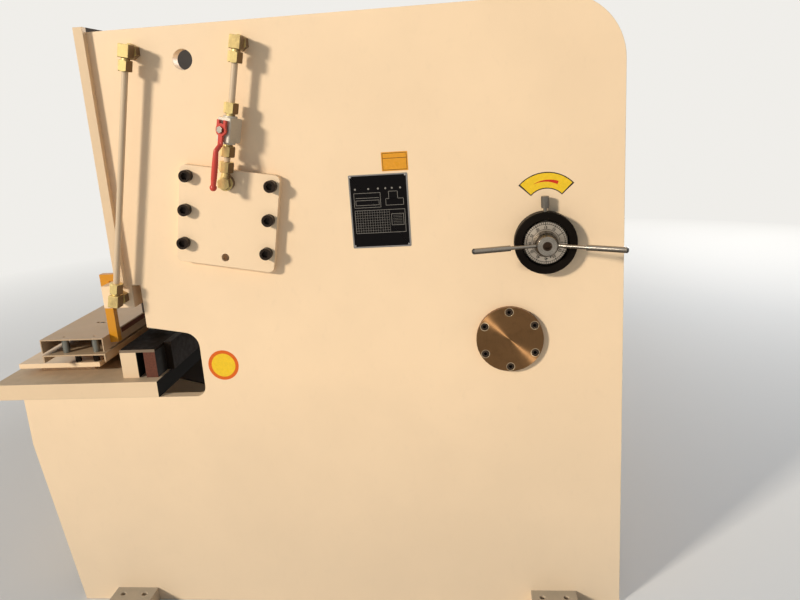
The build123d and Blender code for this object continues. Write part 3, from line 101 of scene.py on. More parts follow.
def tint(name, description, default):
    """A colour."""
    return FloatVectorProperty(name=name, description=description, subtype="COLOR", size=3, default=default)


def length(name, description, default):
    """A length in metres."""
    return FloatProperty(name=name, description=description, subtype="DISTANCE", unit="LENGTH",
                         default=default)


def spot(name, description, default):
    """A place on the side plate: its Y and its Z."""
    return FloatVectorProperty(name=name, description=description, subtype="TRANSLATION", unit="LENGTH",
                               size=2, default=default)


def power(name, description, default):
    """The power of a lamp."""
    return FloatProperty(name=name, description=description, unit="POWER", default=default)


class ShearPaintSettings(bpy.types.PropertyGroup):
    cream: tint("Cream", "Paint of the welded frame", (0.930, 0.680, 0.425))
    guard: tint("Guard beige", "Older paint of the finger guard", (0.530, 0.360, 0.205))
    yellow: tint("Yellow", "Paint of the guard hangers", (0.650, 0.265, 0.006))
    red: tint("Red", "Coating of the valve lever", (0.560, 0.050, 0.028))
    ivory: tint("Ivory", "Paint of the hydraulic pipes", (0.610, 0.450, 0.285))
    primer: tint("Primer", "Red oxide of the blade plate", (0.120, 0.036, 0.018))
    casting: tint("Casting", "Paint of the motor and pump", (0.085, 0.100, 0.115))
    # Near black painted onto the rear faces in the throat: painted shade.
    throat_shade: tint("Oil black", "Bare steel under old oil, in the throat", (0.006, 0.005, 0.004))
    # Dark colour painted onto the front plate's inner face: painted shade inside the frame.
    inside: tint("Inside", "Dull primer inside the frame", (0.065, 0.050, 0.038))
    gloss: FloatProperty(name="Roughness", description="Roughness of the satin paint", subtype="FACTOR",
                         min=0.0, max=1.0, default=0.44)
    peel: length("Orange peel", "Height of the spray texture", 0.00004)


class ShearMetalSettings(bpy.types.PropertyGroup):
    steel: tint("Steel", "Bright turned steel", (0.400, 0.350, 0.290))
    zinc: tint("Zinc", "Dull plated spacers", (0.230, 0.225, 0.190))
    # Blade: a dark steel, painted shade on the upper blade in the throat.
    blade: tint("Blade", "Ground tool steel under oil", (0.110, 0.107, 0.102))
    gear: tint("Gear", "Cut gear steel under oil", (0.150, 0.142, 0.132))
    face: tint("Dial face", "Bright face of the graduated disc", (0.490, 0.415, 0.330))
    brass: tint("Brass", "Pipe fittings", (0.950, 0.700, 0.270))
    bronze: tint("Bronze", "Turned face of the pivot covers", (0.230, 0.120, 0.050))
    nickel: tint("Plating", "Plated valve body and manifold", (0.620, 0.540, 0.420))
    chrome: tint("Chrome", "Piston rods", (0.440, 0.440, 0.450))
    black: tint("Black", "Oxide black of the screws", (0.022, 0.014, 0.009))
    ring: tint("Dial ring", "Black of the ring round the dial", (0.012, 0.009, 0.007))


class ShearPlateSettings(bpy.types.PropertyGroup):
    name_width: length("Data plate width", "Width of the black plate", 0.147)
    name_height: length("Data plate height", "Height of the black plate", 0.183)
    name_centre: spot("Data plate centre", "Its place on the side plate", (0.197, 1.129))
    note_size: FloatVectorProperty(name="Note label", description="Width and height of the amber label",
                                   unit="LENGTH", size=2, default=(0.065, 0.046))
    note_centre: spot("Note label centre", "Its place on the side plate", (0.2415, 1.249))
    disc_radius: length("Round label", "Radius of the round label", 0.042)
    disc_centre: spot("Round label centre", "Its place on the side plate", (-0.257, 0.735))
    amber: tint("Amber", "Colour of the small label", (0.755, 0.320, 0.026))
    sun: tint("Label yellow", "Colour of the chart and round label", (0.880, 0.555, 0.026))
    orange: tint("Label orange", "Colour of the round label's ring", (0.720, 0.130, 0.015))


class ShearChartSettings(bpy.types.PropertyGroup):
    centre_z: length("Centre height", "Height of the fan's centre", 1.113)
    outer: length("Outer radius", "Outer radius of the fan", 0.090)
    inner: length("Inner radius", "Inner radius of the fan", 0.050)
    border: length("Border", "Width of the black border", 0.0024)
    half_sweep: FloatProperty(name="Half sweep", description="Angle from the middle to each end",
                              subtype="ANGLE", unit="ROTATION", default=math.radians(47.5))


class ShearDialSettings(bpy.types.PropertyGroup):
    marks: IntProperty(name="Marks", description="Number of marks round the dial", min=10, max=120,
                       default=60)
    long_mark: length("Long mark", "Length of every fifth mark", 0.0086)
    short_mark: length("Short mark", "Length of the other marks", 0.0052)
    figure: length("Figure height", "Height of the dial's figures", 0.0084)
    ribs: IntProperty(name="Knob ribs", description="Ribs round the lock knob", min=12, max=60, default=30)


class ShearScrewSettings(bpy.types.PropertyGroup):
    head: length("Head radius", "Radius of the pivot covers' screw heads", 0.009)
    head_height: length("Head height", "Height of the heads", 0.0076)
    shank: length("Shank radius", "Radius of the shanks", 0.0056)
    circle: length("Bolt circle", "Radius of the circle of screws", 0.0725)
    shank_length: length("Shank length", "Length of the shanks under the heads", 0.018)
    key: length("Key size", "Across the flats of the sockets", 0.0090)
    key_depth: length("Key depth", "Depth of the sockets", 0.0060)


class ShearStageSettings(bpy.types.PropertyGroup):
    camera: FloatVectorProperty(name="Camera", description="Place of the camera", subtype="TRANSLATION",
                                unit="LENGTH", size=3, default=(3.2583, 0.44374, 1.37818))
    aim: FloatVectorProperty(name="Camera turn", description="Yaw, pitch and roll off the level view",
                             subtype="EULER", unit="ROTATION", size=3,
                             default=(math.radians(6.6676), math.radians(14.7649), math.radians(-3.8032)))
    lens: FloatProperty(name="Lens", description="Focal length on a 36 mm sensor", unit="CAMERA",
                        default=33.06)
    floor: tint("Floor", "Colour of the floor", (0.70, 0.685, 0.655))
    paper: tint("Backdrop", "Colour of the backdrop", (0.87, 0.855, 0.82))
    fade_start: length("Fade start", "Distance at which the floor starts to fade into the backdrop", 2.6)
    fade_end: length("Fade end", "Distance at which the floor has faded into the backdrop", 5.6)
    key: power("Key lamp", "Power of the lamp from the front left", 5350.0)
    rear: power("Rear lamp", "Power of the wide lamp behind the left end", 900.0)
    sky: FloatProperty(name="Sky", description="Strength of the even light", default=0.26)


# Materials

# Colour of the film on faces that look up: part dusty film, part painted shade on the tops.
dust_and_shade_tone = (0.30, 0.235, 0.155)
# Colour of the blotches near the floor and of the darkening towards the bottom.
low_darkening_tone = (0.36, 0.35, 0.30)
oil_tone = (0.020, 0.014, 0.011)
# Colour of the painted highlight round the screw holes of the pivot covers.
rim_highlight_tone = (0.80, 0.62, 0.40)
shadow_tone = (0.045, 0.027, 0.017)
grip_tone = (0.012, 0.011, 0.010)
# Light steel for edges: wear and painted glint, as on the screw heads' rims.
wear_and_glint_steel = (0.30, 0.22, 0.15)
ink_tone = (0.018, 0.015, 0.012)
fine_relief = 0.00002


def shade(colour, by):
    """The colour made lighter or darker."""
    return tuple(min(1.0, c * by) for c in colour)


class Nodes:
    """Adds nodes to a tree; an input takes a number, a colour, a vector or another node's output."""

    def __init__(self, tree):
        self.tree = tree
        tree.nodes.clear()

    def feed(self, socket, value):
        """Links an output to an input, or sets the input."""
        if isinstance(value, bpy.types.NodeSocket):
            self.tree.links.new(value, socket)
        elif value is not None:
            socket.default_value = (*value, 1) if socket.type == "RGBA" else value

    def node(self, kind, inputs, **options):
        """One node with its options and inputs set; returns its outputs."""
        made = self.tree.nodes.new("ShaderNode" + kind)
        for option, value in options.items():
            setattr(made, option, value)
        for key, value in inputs.items():
            self.feed(made.inputs[key], value)
        return made.outputs

    def spread(self, value, low, high, to_low=0.0, to_high=1.0):
        """Maps a pattern's range onto another range, held at the ends."""
        ends = {"From Min": low, "From Max": high, "To Min": to_low, "To Max": to_high}
        return self.node("MapRange", {"Value": value, **ends})["Result"]

    def sums(self, operation, first, second):
        """One Math node."""
        return self.node("Math", {0: first, 1: second}, operation=operation)["Value"]

    def times(self, first, second):
        """The product."""
        return self.sums("MULTIPLY", first, second)

    def most(self, first, second):
        """The larger one."""
        return self.sums("MAXIMUM", first, second)

    def vectors(self, operation, first, second=None):
        """One Vector Math node."""
        made = self.node("VectorMath", {0: first, 1: second}, operation=operation)
        return made["Value" if operation in ("LENGTH", "DOT_PRODUCT") else "Vector"]

    def parts(self, vector):
        """The components of a vector."""
        return self.node("SeparateXYZ", {"Vector": vector})

    def blended(self, factor, first, second):
        """First colour where the factor is 0 and the second where it is 1."""
        return self.node("Mix", {0: factor, 6: first, 7: second}, data_type="RGBA")[2]

    def mixed(self, factor, first, second):
        """First shader where the factor is 0 and the second where it is 1."""
        return self.node("MixShader", {0: factor, 1: first, 2: second})["Shader"]

    def shown_to_camera(self):
        """1 for what the camera sees straight, in a reflection or through glass."""
        path = self.node("LightPath", {})
        seen = self.most(path["Is Glossy Ray"], path["Is Transmission Ray"])
        return self.most(path["Is Camera Ray"], seen)


class Finish(Nodes):
    """A material with one Principled shader and patterns on Object coordinates."""

    def __init__(self, name):
        self.material = bpy.data.materials.new(name)
        self.material.use_nodes = True
        super().__init__(self.material.node_tree)
        self.output = self.tree.nodes.new("ShaderNodeOutputMaterial")
        self.shader = self.tree.nodes.new("ShaderNodeBsdfPrincipled")
        self.feed(self.output.inputs["Surface"], self.shader.outputs["BSDF"])
        coordinates = self.node("TexCoord", {})
        self.place, self.normal = coordinates["Object"], coordinates["Normal"]

    def done(self, tone, rough, surface, constants):
        """Feeds the shader its colour, roughness and normal, and the inputs that are the same all over."""
        inputs = {"Base Color": tone, "Roughness": rough, "Normal": surface, **constants}
        for key, value in inputs.items():
            self.feed(self.shader.inputs[key], value)
        return self.material

    def moved(self, shift=(0, 0, 0), scale=(1, 1, 1)):
        """The coordinates stretched along each axis, after a shift of their centre."""
        location = [-s * k for s, k in zip(shift, scale)]
        inputs = {"Vector": self.place, "Location": location, "Scale": scale}
        return self.node("Mapping", inputs)["Vector"]

    def off_axis(self, centre):
        """Distance from an axis along X through a centre."""
        return self.vectors("LENGTH", self.moved(shift=centre, scale=(0, 1, 1)))

    def grain(self, size, detail=3.0, rough=0.55, stretch=(1, 1, 1)):
        """Noise whose blotches are about this size."""
        place = self.place if stretch == (1, 1, 1) else self.moved(scale=stretch)
        inputs = {"Scale": 1 / size, "Detail": detail, "Roughness": rough, "Vector": place}
        return self.node("TexNoise", inputs)[0]

    def relief(self, height, depth, under=None):
        """A bump of the given depth, laid over another one."""
        inputs = {"Strength": 1.0, "Distance": depth, "Height": height, "Normal": under}
        return self.node("Bump", inputs)["Normal"]

    def broken_edge(self, radius):
        """A normal that rounds the sharp edges, and a mask that is 1 along them."""
        rounded = self.node("Bevel", {"Radius": radius}, samples=4)["Normal"]
        flat = self.node("NewGeometry", {})["Normal"]
        return rounded, self.spread(self.vectors("DOT_PRODUCT", rounded, flat), 0.99, 0.80)

    def edge_wear_and_glint(self, tone, edge, share, bright):
        """The colour changed to another one along the edges: scuffing on paint, scuffing and painted glint on
        metal.
        """
        return self.blended(self.times(edge, share), tone, bright)

    def facing(self, axis, low=0.6, high=0.9):
        """1 on faces that look along an axis of the piece, 0 on the others."""
        return self.spread(self.parts(self.normal)[axis], low, high)

    def underside(self, most):
        """Painted shade on the undersides: none on faces that look up, the most on those that look down."""
        return self.spread(self.parts(self.normal)["Z"], 0.25, -0.65, 0.0, most)

    def inside_box(self, low, high, soft=0.0006):
        """1 inside a box of the piece, 0 outside."""
        low, high = Vector(low), Vector(high)
        off = self.vectors("ABSOLUTE", self.vectors("SUBTRACT", self.place, (low + high) / 2))
        over = self.parts(self.vectors("SUBTRACT", off, (high - low) / 2))
        return self.spread(self.most(self.most(over["X"], over["Y"]), over["Z"]), -soft, 0.0, 1.0, 0.0)


def machine_paint(name, colour, roughness, peel, dust_and_shade=0.45, low_darkening=0.35, coat=0.08, patches=()):
    """Sprayed satin paint: slow waves, fine peel, mottling, darker scuffed edges, a brown film on faces that
    look up that is part dusty film and part painted shade, blotches near the floor with a darkening towards
    the bottom, and patches of another colour in boxes, most of them painted shade on rear faces and in holes.
    """
    paint = Finish(name)
    clouds, specks = paint.grain(0.34, 4.0), paint.grain(0.018, 2.0, stretch=(1, 1, 0.6))
    tone = paint.blended(paint.spread(clouds, 0.38, 0.62), shade(colour, 0.97), shade(colour, 1.015))
    tone = paint.blended(paint.spread(specks, 0.60, 0.82, 0.0, 0.08), tone, shade(colour, 0.70))
    rounded, edge = paint.broken_edge(0.0016)
    scuffs = paint.spread(paint.grain(0.012), 0.50, 0.66, 0.0, 0.30)
    tone = paint.edge_wear_and_glint(tone, edge, scuffs, shade(colour, 0.55))
    # A brown film on faces that look up: part dusty film, part painted shade on the tops.
    if dust_and_shade:
        film = paint.spread(paint.grain(0.06, 5.0), 0.30, 0.72, 0.6 * dust_and_shade, dust_and_shade)
        tone = paint.blended(paint.times(film, paint.facing("Z")), tone, dust_and_shade_tone)
    # Blotches near the floor, and the paint darker towards the bottom over the lowest 0.72 m.
    if low_darkening:
        height = paint.parts(paint.place)["Z"]
        blotches = paint.spread(paint.grain(0.05, 5.0), 0.35, 0.75)
        low = paint.times(paint.spread(height, 0.10, 0.0, 0.0, low_darkening), blotches)
        haze = paint.spread(height, 0.72, 0.05, 0.0, low_darkening)
        tone = paint.blended(paint.most(low, haze), tone, low_darkening_tone)
    rough = paint.spread(paint.grain(0.09), 0.3, 0.7, roughness - 0.05, roughness + 0.06)
    # Patches of another colour in boxes of the piece; most of them paint shade onto rear faces and into
    # holes.
    for low, high, under in patches:
        mask = paint.inside_box(low, high)
        tone = paint.blended(mask, tone, under)
        rough = paint.most(rough, paint.times(mask, 0.85))
    waves = paint.relief(paint.grain(0.11, 1.0), 0.0009, rounded)
    surface = paint.relief(paint.grain(0.0024, 1.0), peel, waves)
    gloss = {"Specular IOR Level": 0.4 if coat else 0.15, "Coat Weight": coat, "Coat Roughness": 0.30}
    return paint.done(tone, rough, surface, gloss)


def primer_coat(name, colour):
    """Matte red oxide, brushed and stained with oil, with painted shade on faces that look to the rear."""
    primer = Finish(name)
    strokes, stains = primer.grain(0.004, stretch=(0.15, 1, 1)), primer.grain(0.045, 5.0)
    tone = primer.blended(primer.spread(strokes, 0.3, 0.7), shade(colour, 0.72), shade(colour, 1.25))
    tone = primer.blended(primer.spread(stains, 0.52, 0.70, 0.0, 0.65), tone, oil_tone)
    # Painted shade: faces that look to the rear are near black.
    tone = primer.blended(primer.facing("Y"), tone, (0.010, 0.008, 0.006))
    rounded, edge = primer.broken_edge(0.0010)
    tone = primer.edge_wear_and_glint(tone, edge, 0.35, (0.22, 0.17, 0.14))
    rough = primer.spread(stains, 0.45, 0.70, 0.75, 0.45)
    return primer.done(tone, rough, primer.relief(strokes, 0.00012, rounded), {"Specular IOR Level": 0.3})


def cast_paint(name, colour):
    """Enamel over a sand casting."""
    enamel = Finish(name)
    sand, mottle = enamel.grain(0.0022, 2.0, 0.7), enamel.grain(0.03, 4.0)
    tone = enamel.blended(enamel.spread(mottle, 0.35, 0.7), shade(colour, 0.8), shade(colour, 1.25))
    rounded, edge = enamel.broken_edge(0.0012)
    tone = enamel.edge_wear_and_glint(tone, edge, 0.25, shade(colour, 2.2))
    rough = enamel.spread(sand, 0.3, 0.7, 0.42, 0.60)
    return enamel.done(tone, rough, enamel.relief(sand, 0.00035, rounded), {})


def ground_metal(name, colour, lines, rough, stain=0.25, metallic=1.0, under_shade=0.5, caps=None):
    """Metal with fine lines, stretched by lines along each axis; caps are black beyond a radius."""
    metal = Finish(name)
    marks, haze = metal.grain(0.0012, 2.0, 0.6, stretch=lines), metal.grain(0.028, 4.0)
    tone = metal.blended(metal.spread(marks, 0.30, 0.70), shade(colour, 0.88), shade(colour, 1.10))
    tone = metal.blended(metal.spread(haze, 0.52, 0.74, 0.0, stain), tone, shade(colour, 0.40))
    # Painted shade on faces that look down.
    tone = metal.blended(metal.underside(under_shade), tone, shade(colour, 0.2))
    rounded, edge = metal.broken_edge(0.0006)
    # Lighter edges: wear and painted glint.
    tone = metal.edge_wear_and_glint(tone, edge, 0.5, shade(colour, 1.6))
    if caps:
        centre, radius = caps
        mask = metal.spread(metal.off_axis(centre), radius - 0.0004, radius)
        tone = metal.blended(mask, tone, grip_tone)
        metallic = metal.spread(mask, 0.0, 1.0, metallic, 0.0)
    wear = metal.spread(metal.sums("ADD", marks, haze), 0.7, 1.3, rough - 0.06, rough + 0.09)
    return metal.done(tone, wear, metal.relief(marks, fine_relief, rounded), {"Metallic": metallic})


def turned_metal(name, colour, centre, rough, pitch=0.0007, depth=fine_relief, glow=0.75, stain=0.18,
                 bore=0.0, holes=(), lit_rim_radius=0.012):
    """Metal faced on a lathe about X: rings round the centre, with the fan of light they give, and a painted
    highlight round each hole.
    """
    metal = Finish(name)
    spoke = metal.moved(shift=centre, scale=(0, 1, 1))
    radius = metal.vectors("LENGTH", spoke)
    pattern = {"Scale": 1 / pitch, "Detail": 3.0, "W": radius}
    rings = metal.node("TexNoise", pattern, noise_dimensions="1D")[0]
    haze = metal.grain(0.020, 4.0)
    tone = metal.blended(metal.spread(rings, 0.30, 0.70), shade(colour, 0.82), shade(colour, 1.15))
    tone = metal.blended(metal.spread(haze, 0.50, 0.75, 0.0, stain), tone, shade(colour, 0.35))
    rounded, edge = metal.broken_edge(0.0008)
    tone = metal.edge_wear_and_glint(tone, edge, 0.4, shade(colour, 1.7))
    # Painted highlight: a light rim round each screw hole.
    for hole in holes:
        rim = metal.spread(metal.off_axis(hole), lit_rim_radius, lit_rim_radius - 0.0012)
        rim = metal.times(rim, metal.spread(haze, 0.30, 0.60, 0.35, 0.95))
        tone = metal.blended(rim, tone, rim_highlight_tone)
    if bore:
        tone = metal.blended(metal.spread(radius, bore - 0.0003, bore, 1.0, 0.0), tone, shadow_tone)
    wear = metal.spread(rings, 0.3, 0.7, rough - 0.07, rough + 0.09)
    lathe = {"Metallic": 1.0, "Tangent": spoke, "Anisotropic": glow}
    return metal.done(tone, wear, metal.relief(rings, depth, rounded), lathe)


def brass_metal(name, colour, dark=(0.17, 0.095, 0.035), tarnished=0.35, metallic=0.5):
    """Pressed and machined brass with blotchy tarnish, and painted shade on faces that look down and to the
    rear.
    """
    brass = Finish(name)
    marks, tarnish = brass.grain(0.0016, stretch=(1, 1, 0.25)), brass.grain(0.022)
    tone = brass.blended(brass.spread(marks, 0.3, 0.7), shade(colour, 0.90), shade(colour, 1.10))
    tone = brass.blended(brass.spread(tarnish, 0.50, 0.78, 0.0, tarnished), tone, dark)
    # Painted shade on faces that look down and to the rear.
    tone = brass.blended(brass.underside(0.85), tone, shade(dark, 0.7))
    tone = brass.blended(brass.facing("Y", 0.2, 0.8), tone, dark)
    rounded, edge = brass.broken_edge(0.0009)
    # Lighter edges: wear and painted glint.
    tone = brass.edge_wear_and_glint(tone, edge, 0.5, shade(colour, 1.5))
    rough = brass.spread(tarnish, 0.3, 0.75, 0.30, 0.44)
    return brass.done(tone, rough, brass.relief(marks, fine_relief, rounded), {"Metallic": metallic})


def black_oxide(name, colour, rough=0.38, wear_and_glint_share=0.45, edge_wear_and_glint=(0.16, 0.12, 0.09), ends=0.0, shine=0.12):
    """Blackened steel, oily, lighter on its edges from wear and painted glint, and, where asked, lighter on
    its X ends as a painted highlight.
    """
    steel = Finish(name)
    marks, oil = steel.grain(0.0016), steel.grain(0.016)
    tone = steel.blended(steel.spread(marks, 0.3, 0.7), shade(colour, 0.7), shade(colour, 1.6))
    rounded, edge = steel.broken_edge(0.0006)
    # Painted highlight: faces that look along X turn lighter.
    if ends:
        tone = steel.edge_wear_and_glint(tone, steel.facing("X"), ends, edge_wear_and_glint)
    tone = steel.edge_wear_and_glint(tone, edge, wear_and_glint_share, edge_wear_and_glint)
    wear = steel.spread(oil, 0.3, 0.7, rough - 0.1, rough + 0.1)
    body = {"Metallic": 0.2, "Specular IOR Level": shine}
    return steel.done(tone, wear, steel.relief(marks, fine_relief, rounded), body)


def printed_film(name, colour, rough=0.30, shine=0.2):
    """Printed label film: faint mottling of the ink and tiny dents of the wall behind it."""
    film = Finish(name)
    mottle = film.spread(film.grain(0.006, 4.0), 0.3, 0.7)
    tone = film.blended(mottle, shade(colour, 0.93), shade(colour, 1.05))
    sheen = film.spread(film.grain(0.02), 0.3, 0.7, rough - 0.07, rough + 0.09)
    dents = film.relief(film.grain(0.004, 2.0), 0.00003)
    return film.done(tone, sheen, dents, {"Specular IOR Level": shine})


def dress(material, *nodes):
    """Gives CAD nodes their material."""
    for node in nodes:
        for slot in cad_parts[node].material_slots:
            slot.material = material


# Pieces

def outwards(side):
    """Turns a sheet's own right, up and outwards onto the right (1) or left (-1) side plate."""
    return Matrix(((0, 0, side), (side, 0, 0), (0, 1, 0))).to_4x4()


def on_wall(y, z):
    """Sets a sheet on the right side plate's outer face."""
    return Matrix.Translation((wall_x, y, z)) @ outwards(1)


def cover_screw_places(circle):
    """Y and Z of the six screws of a pivot cover, on their bolt circle."""
    turns = [math.radians(30 + 60 * index) for index in range(6)]
    return [(pivot.y + circle * math.cos(turn), pivot.z + circle * math.sin(turn)) for turn in turns]


def finished(name, bm, materials, body, place=upright, sharp=30):
    """Sets the bmesh in its place, makes it a piece with normals outwards, and lets it ride on a body."""
    weld_gap = 0.000001
    bmesh.ops.transform(bm, matrix=place, verts=bm.verts)
    bmesh.ops.remove_doubles(bm, verts=bm.verts, dist=weld_gap)
    bmesh.ops.recalc_face_normals(bm, faces=bm.faces)
    mesh = bpy.data.meshes.new(name)
    bm.to_mesh(mesh)
    bm.free()
    mesh.polygons.foreach_set("use_smooth", [True] * len(mesh.polygons))
    mesh.set_sharp_from_angle(angle=math.radians(sharp))
    for material in materials:
        mesh.materials.append(material)
    piece = bpy.data.objects.new(name, mesh)
    bpy.context.scene.collection.objects.link(piece)
    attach(piece, body)
    return piece


def face_sheet(bm, width, height, corner, ink=0):
    """A flat rounded rectangle in the sheet's own plane; returns its face."""
    before = set(bm.faces)
    made = bmesh.ops.create_grid(bm, x_segments=1, y_segments=1, size=0.5)
    bmesh.ops.scale(bm, vec=(width, height, 1), verts=made["verts"])
    bmesh.ops.bevel(bm, geom=made["verts"], offset=corner, segments=5, profile=0.5, affect="VERTICES",
                    material=-1)
    face = max((f for f in bm.faces if f not in before), key=lambda f: f.calc_area())
    face.material_index = ink
    return face


def thicken(bm, faces, height, ink=None):
    """Raises flat faces off the sheet by a height, and closes their sides; returns the new tops."""
    made = bmesh.ops.extrude_face_region(bm, geom=faces, use_keep_orig=True)
    verts = [v for v in made["geom"] if isinstance(v, bmesh.types.BMVert)]
    bmesh.ops.translate(bm, vec=(0, 0, height), verts=verts)
    if ink is not None:
        for face in {f for v in verts for f in v.link_faces}:
            face.material_index = ink
    return [f for f in made["geom"] if isinstance(f, bmesh.types.BMFace)]


def pulled(bm, faces, height):
    """Moves faces of a closed shape off their place, with new sides; returns the moved vertices."""
    made = bmesh.ops.extrude_face_region(bm, geom=faces)
    verts = [v for v in made["geom"] if isinstance(v, bmesh.types.BMVert)]
    bmesh.ops.translate(bm, vec=(0, 0, height), verts=verts)
    left = [face for face in faces if face.is_valid]
    if left:
        bmesh.ops.delete(bm, geom=left, context="FACES_ONLY")
    return verts


def faces_of(made):
    """The faces that touch the vertices an operator has just made."""
    return list({f for v in made["verts"] for f in v.link_faces})


def ruled_line(bm, start, end, width, height, lift, ink):
    """A thin raised line between two points of the sheet."""
    across = Vector(end) - Vector(start)
    centre = (Vector(start) + Vector(end)) / 2
    made = bmesh.ops.create_grid(bm, x_segments=1, y_segments=1, size=0.5)
    turn = Matrix.Rotation(math.atan2(across.y, across.x), 4, "Z")
    size = Matrix.Diagonal((across.length, width, 1, 1))
    place = Matrix.Translation((centre.x, centre.y, lift)) @ turn @ size
    bmesh.ops.transform(bm, matrix=place, verts=made["verts"])
    faces = faces_of(made)
    for face in faces:
        face.material_index = ink
    thicken(bm, faces, height, ink)


def box_frame(bm, left, low, right, top, width, height, lift, ink):
    """Four ruled lines that make a frame."""
    corners = ((left, low), (right, low), (right, top), (left, top))
    for start, end in zip(corners, corners[1:] + corners[:1]):
        ruled_line(bm, start, end, width, height, lift, ink)


def turned_shape(bm, outline, steps, matrix, ink=0):
    """Spins an outline of (radius, height) points about the sheet's outward axis."""
    verts = [bm.verts.new((r, 0, h)) for r, h in outline]
    edges = [bm.edges.new(pair) for pair in zip(verts, verts[1:])]
    before = set(bm.faces)
    bmesh.ops.spin(bm, geom=verts + edges, cent=(0, 0, 0), axis=(0, 0, 1), angle=math.tau, steps=steps,
                   use_merge=True)
    made = [f for f in bm.faces if f not in before]
    for face in made:
        face.material_index = ink
    bmesh.ops.transform(bm, matrix=matrix, verts=list({v for f in made for v in f.verts}))


def fan_sheet(bm, inner, outer, start, end, lift, height, ink, steps=40):
    """A raised sector of a ring, from one angle to another."""
    ends = [bm.verts.new((r * math.cos(start), r * math.sin(start), lift)) for r in (inner, outer)]
    edge = bm.edges.new(ends)
    before = set(bm.faces)
    bmesh.ops.spin(bm, geom=[*ends, edge], cent=(0, 0, 0), axis=(0, 0, 1), angle=end - start, steps=steps)
    thicken(bm, [f for f in bm.faces if f not in before], height)
    for face in bm.faces:
        if face not in before:
            face.material_index = ink


def socket_screw(bm, screws, place, turn):
    """A socket head cap screw whose head stands on the sheet and whose shank goes down into it."""
    chamfer = 0.0008
    before = set(bm.verts)
    made = bmesh.ops.create_circle(bm, cap_ends=True, segments=24, radius=screws.head)
    under = faces_of(made)
    top = thicken(bm, under, screws.head_height)
    rim = list({e for f in top for e in f.edges})
    bmesh.ops.bevel(bm, geom=rim, offset=chamfer, segments=2, profile=0.5, affect="EDGES", material=-1)
    fresh = [f for f in bm.faces if not before.issuperset(f.verts)]
    top = [max(fresh, key=lambda f: f.calc_center_median().z)]
    bmesh.ops.inset_region(bm, faces=top, thickness=screws.head - chamfer - screws.key / 1.8)
    for vert in top[0].verts:
        angle = math.atan2(vert.co.y, vert.co.x)
        flat = (angle + math.pi / 6) % (math.pi / 3) - math.pi / 6
        reach = screws.key / 2 / math.cos(flat)
        vert.co.x, vert.co.y = reach * math.cos(angle), reach * math.sin(angle)
    # The socket's walls and floor take the second material, a near black that paints the shade inside the
    # socket.
    for face in {f for v in pulled(bm, top, -screws.key_depth) for f in v.link_faces}:
        face.material_index = 1
    bmesh.ops.inset_region(bm, faces=under, thickness=screws.head - screws.shank)
    pulled(bm, under, -screws.shank_length)
    fresh = [v for v in bm.verts if v not in before]
    bmesh.ops.transform(bm, matrix=place @ Matrix.Rotation(turn, 4, "Z"), verts=fresh)


# Operators

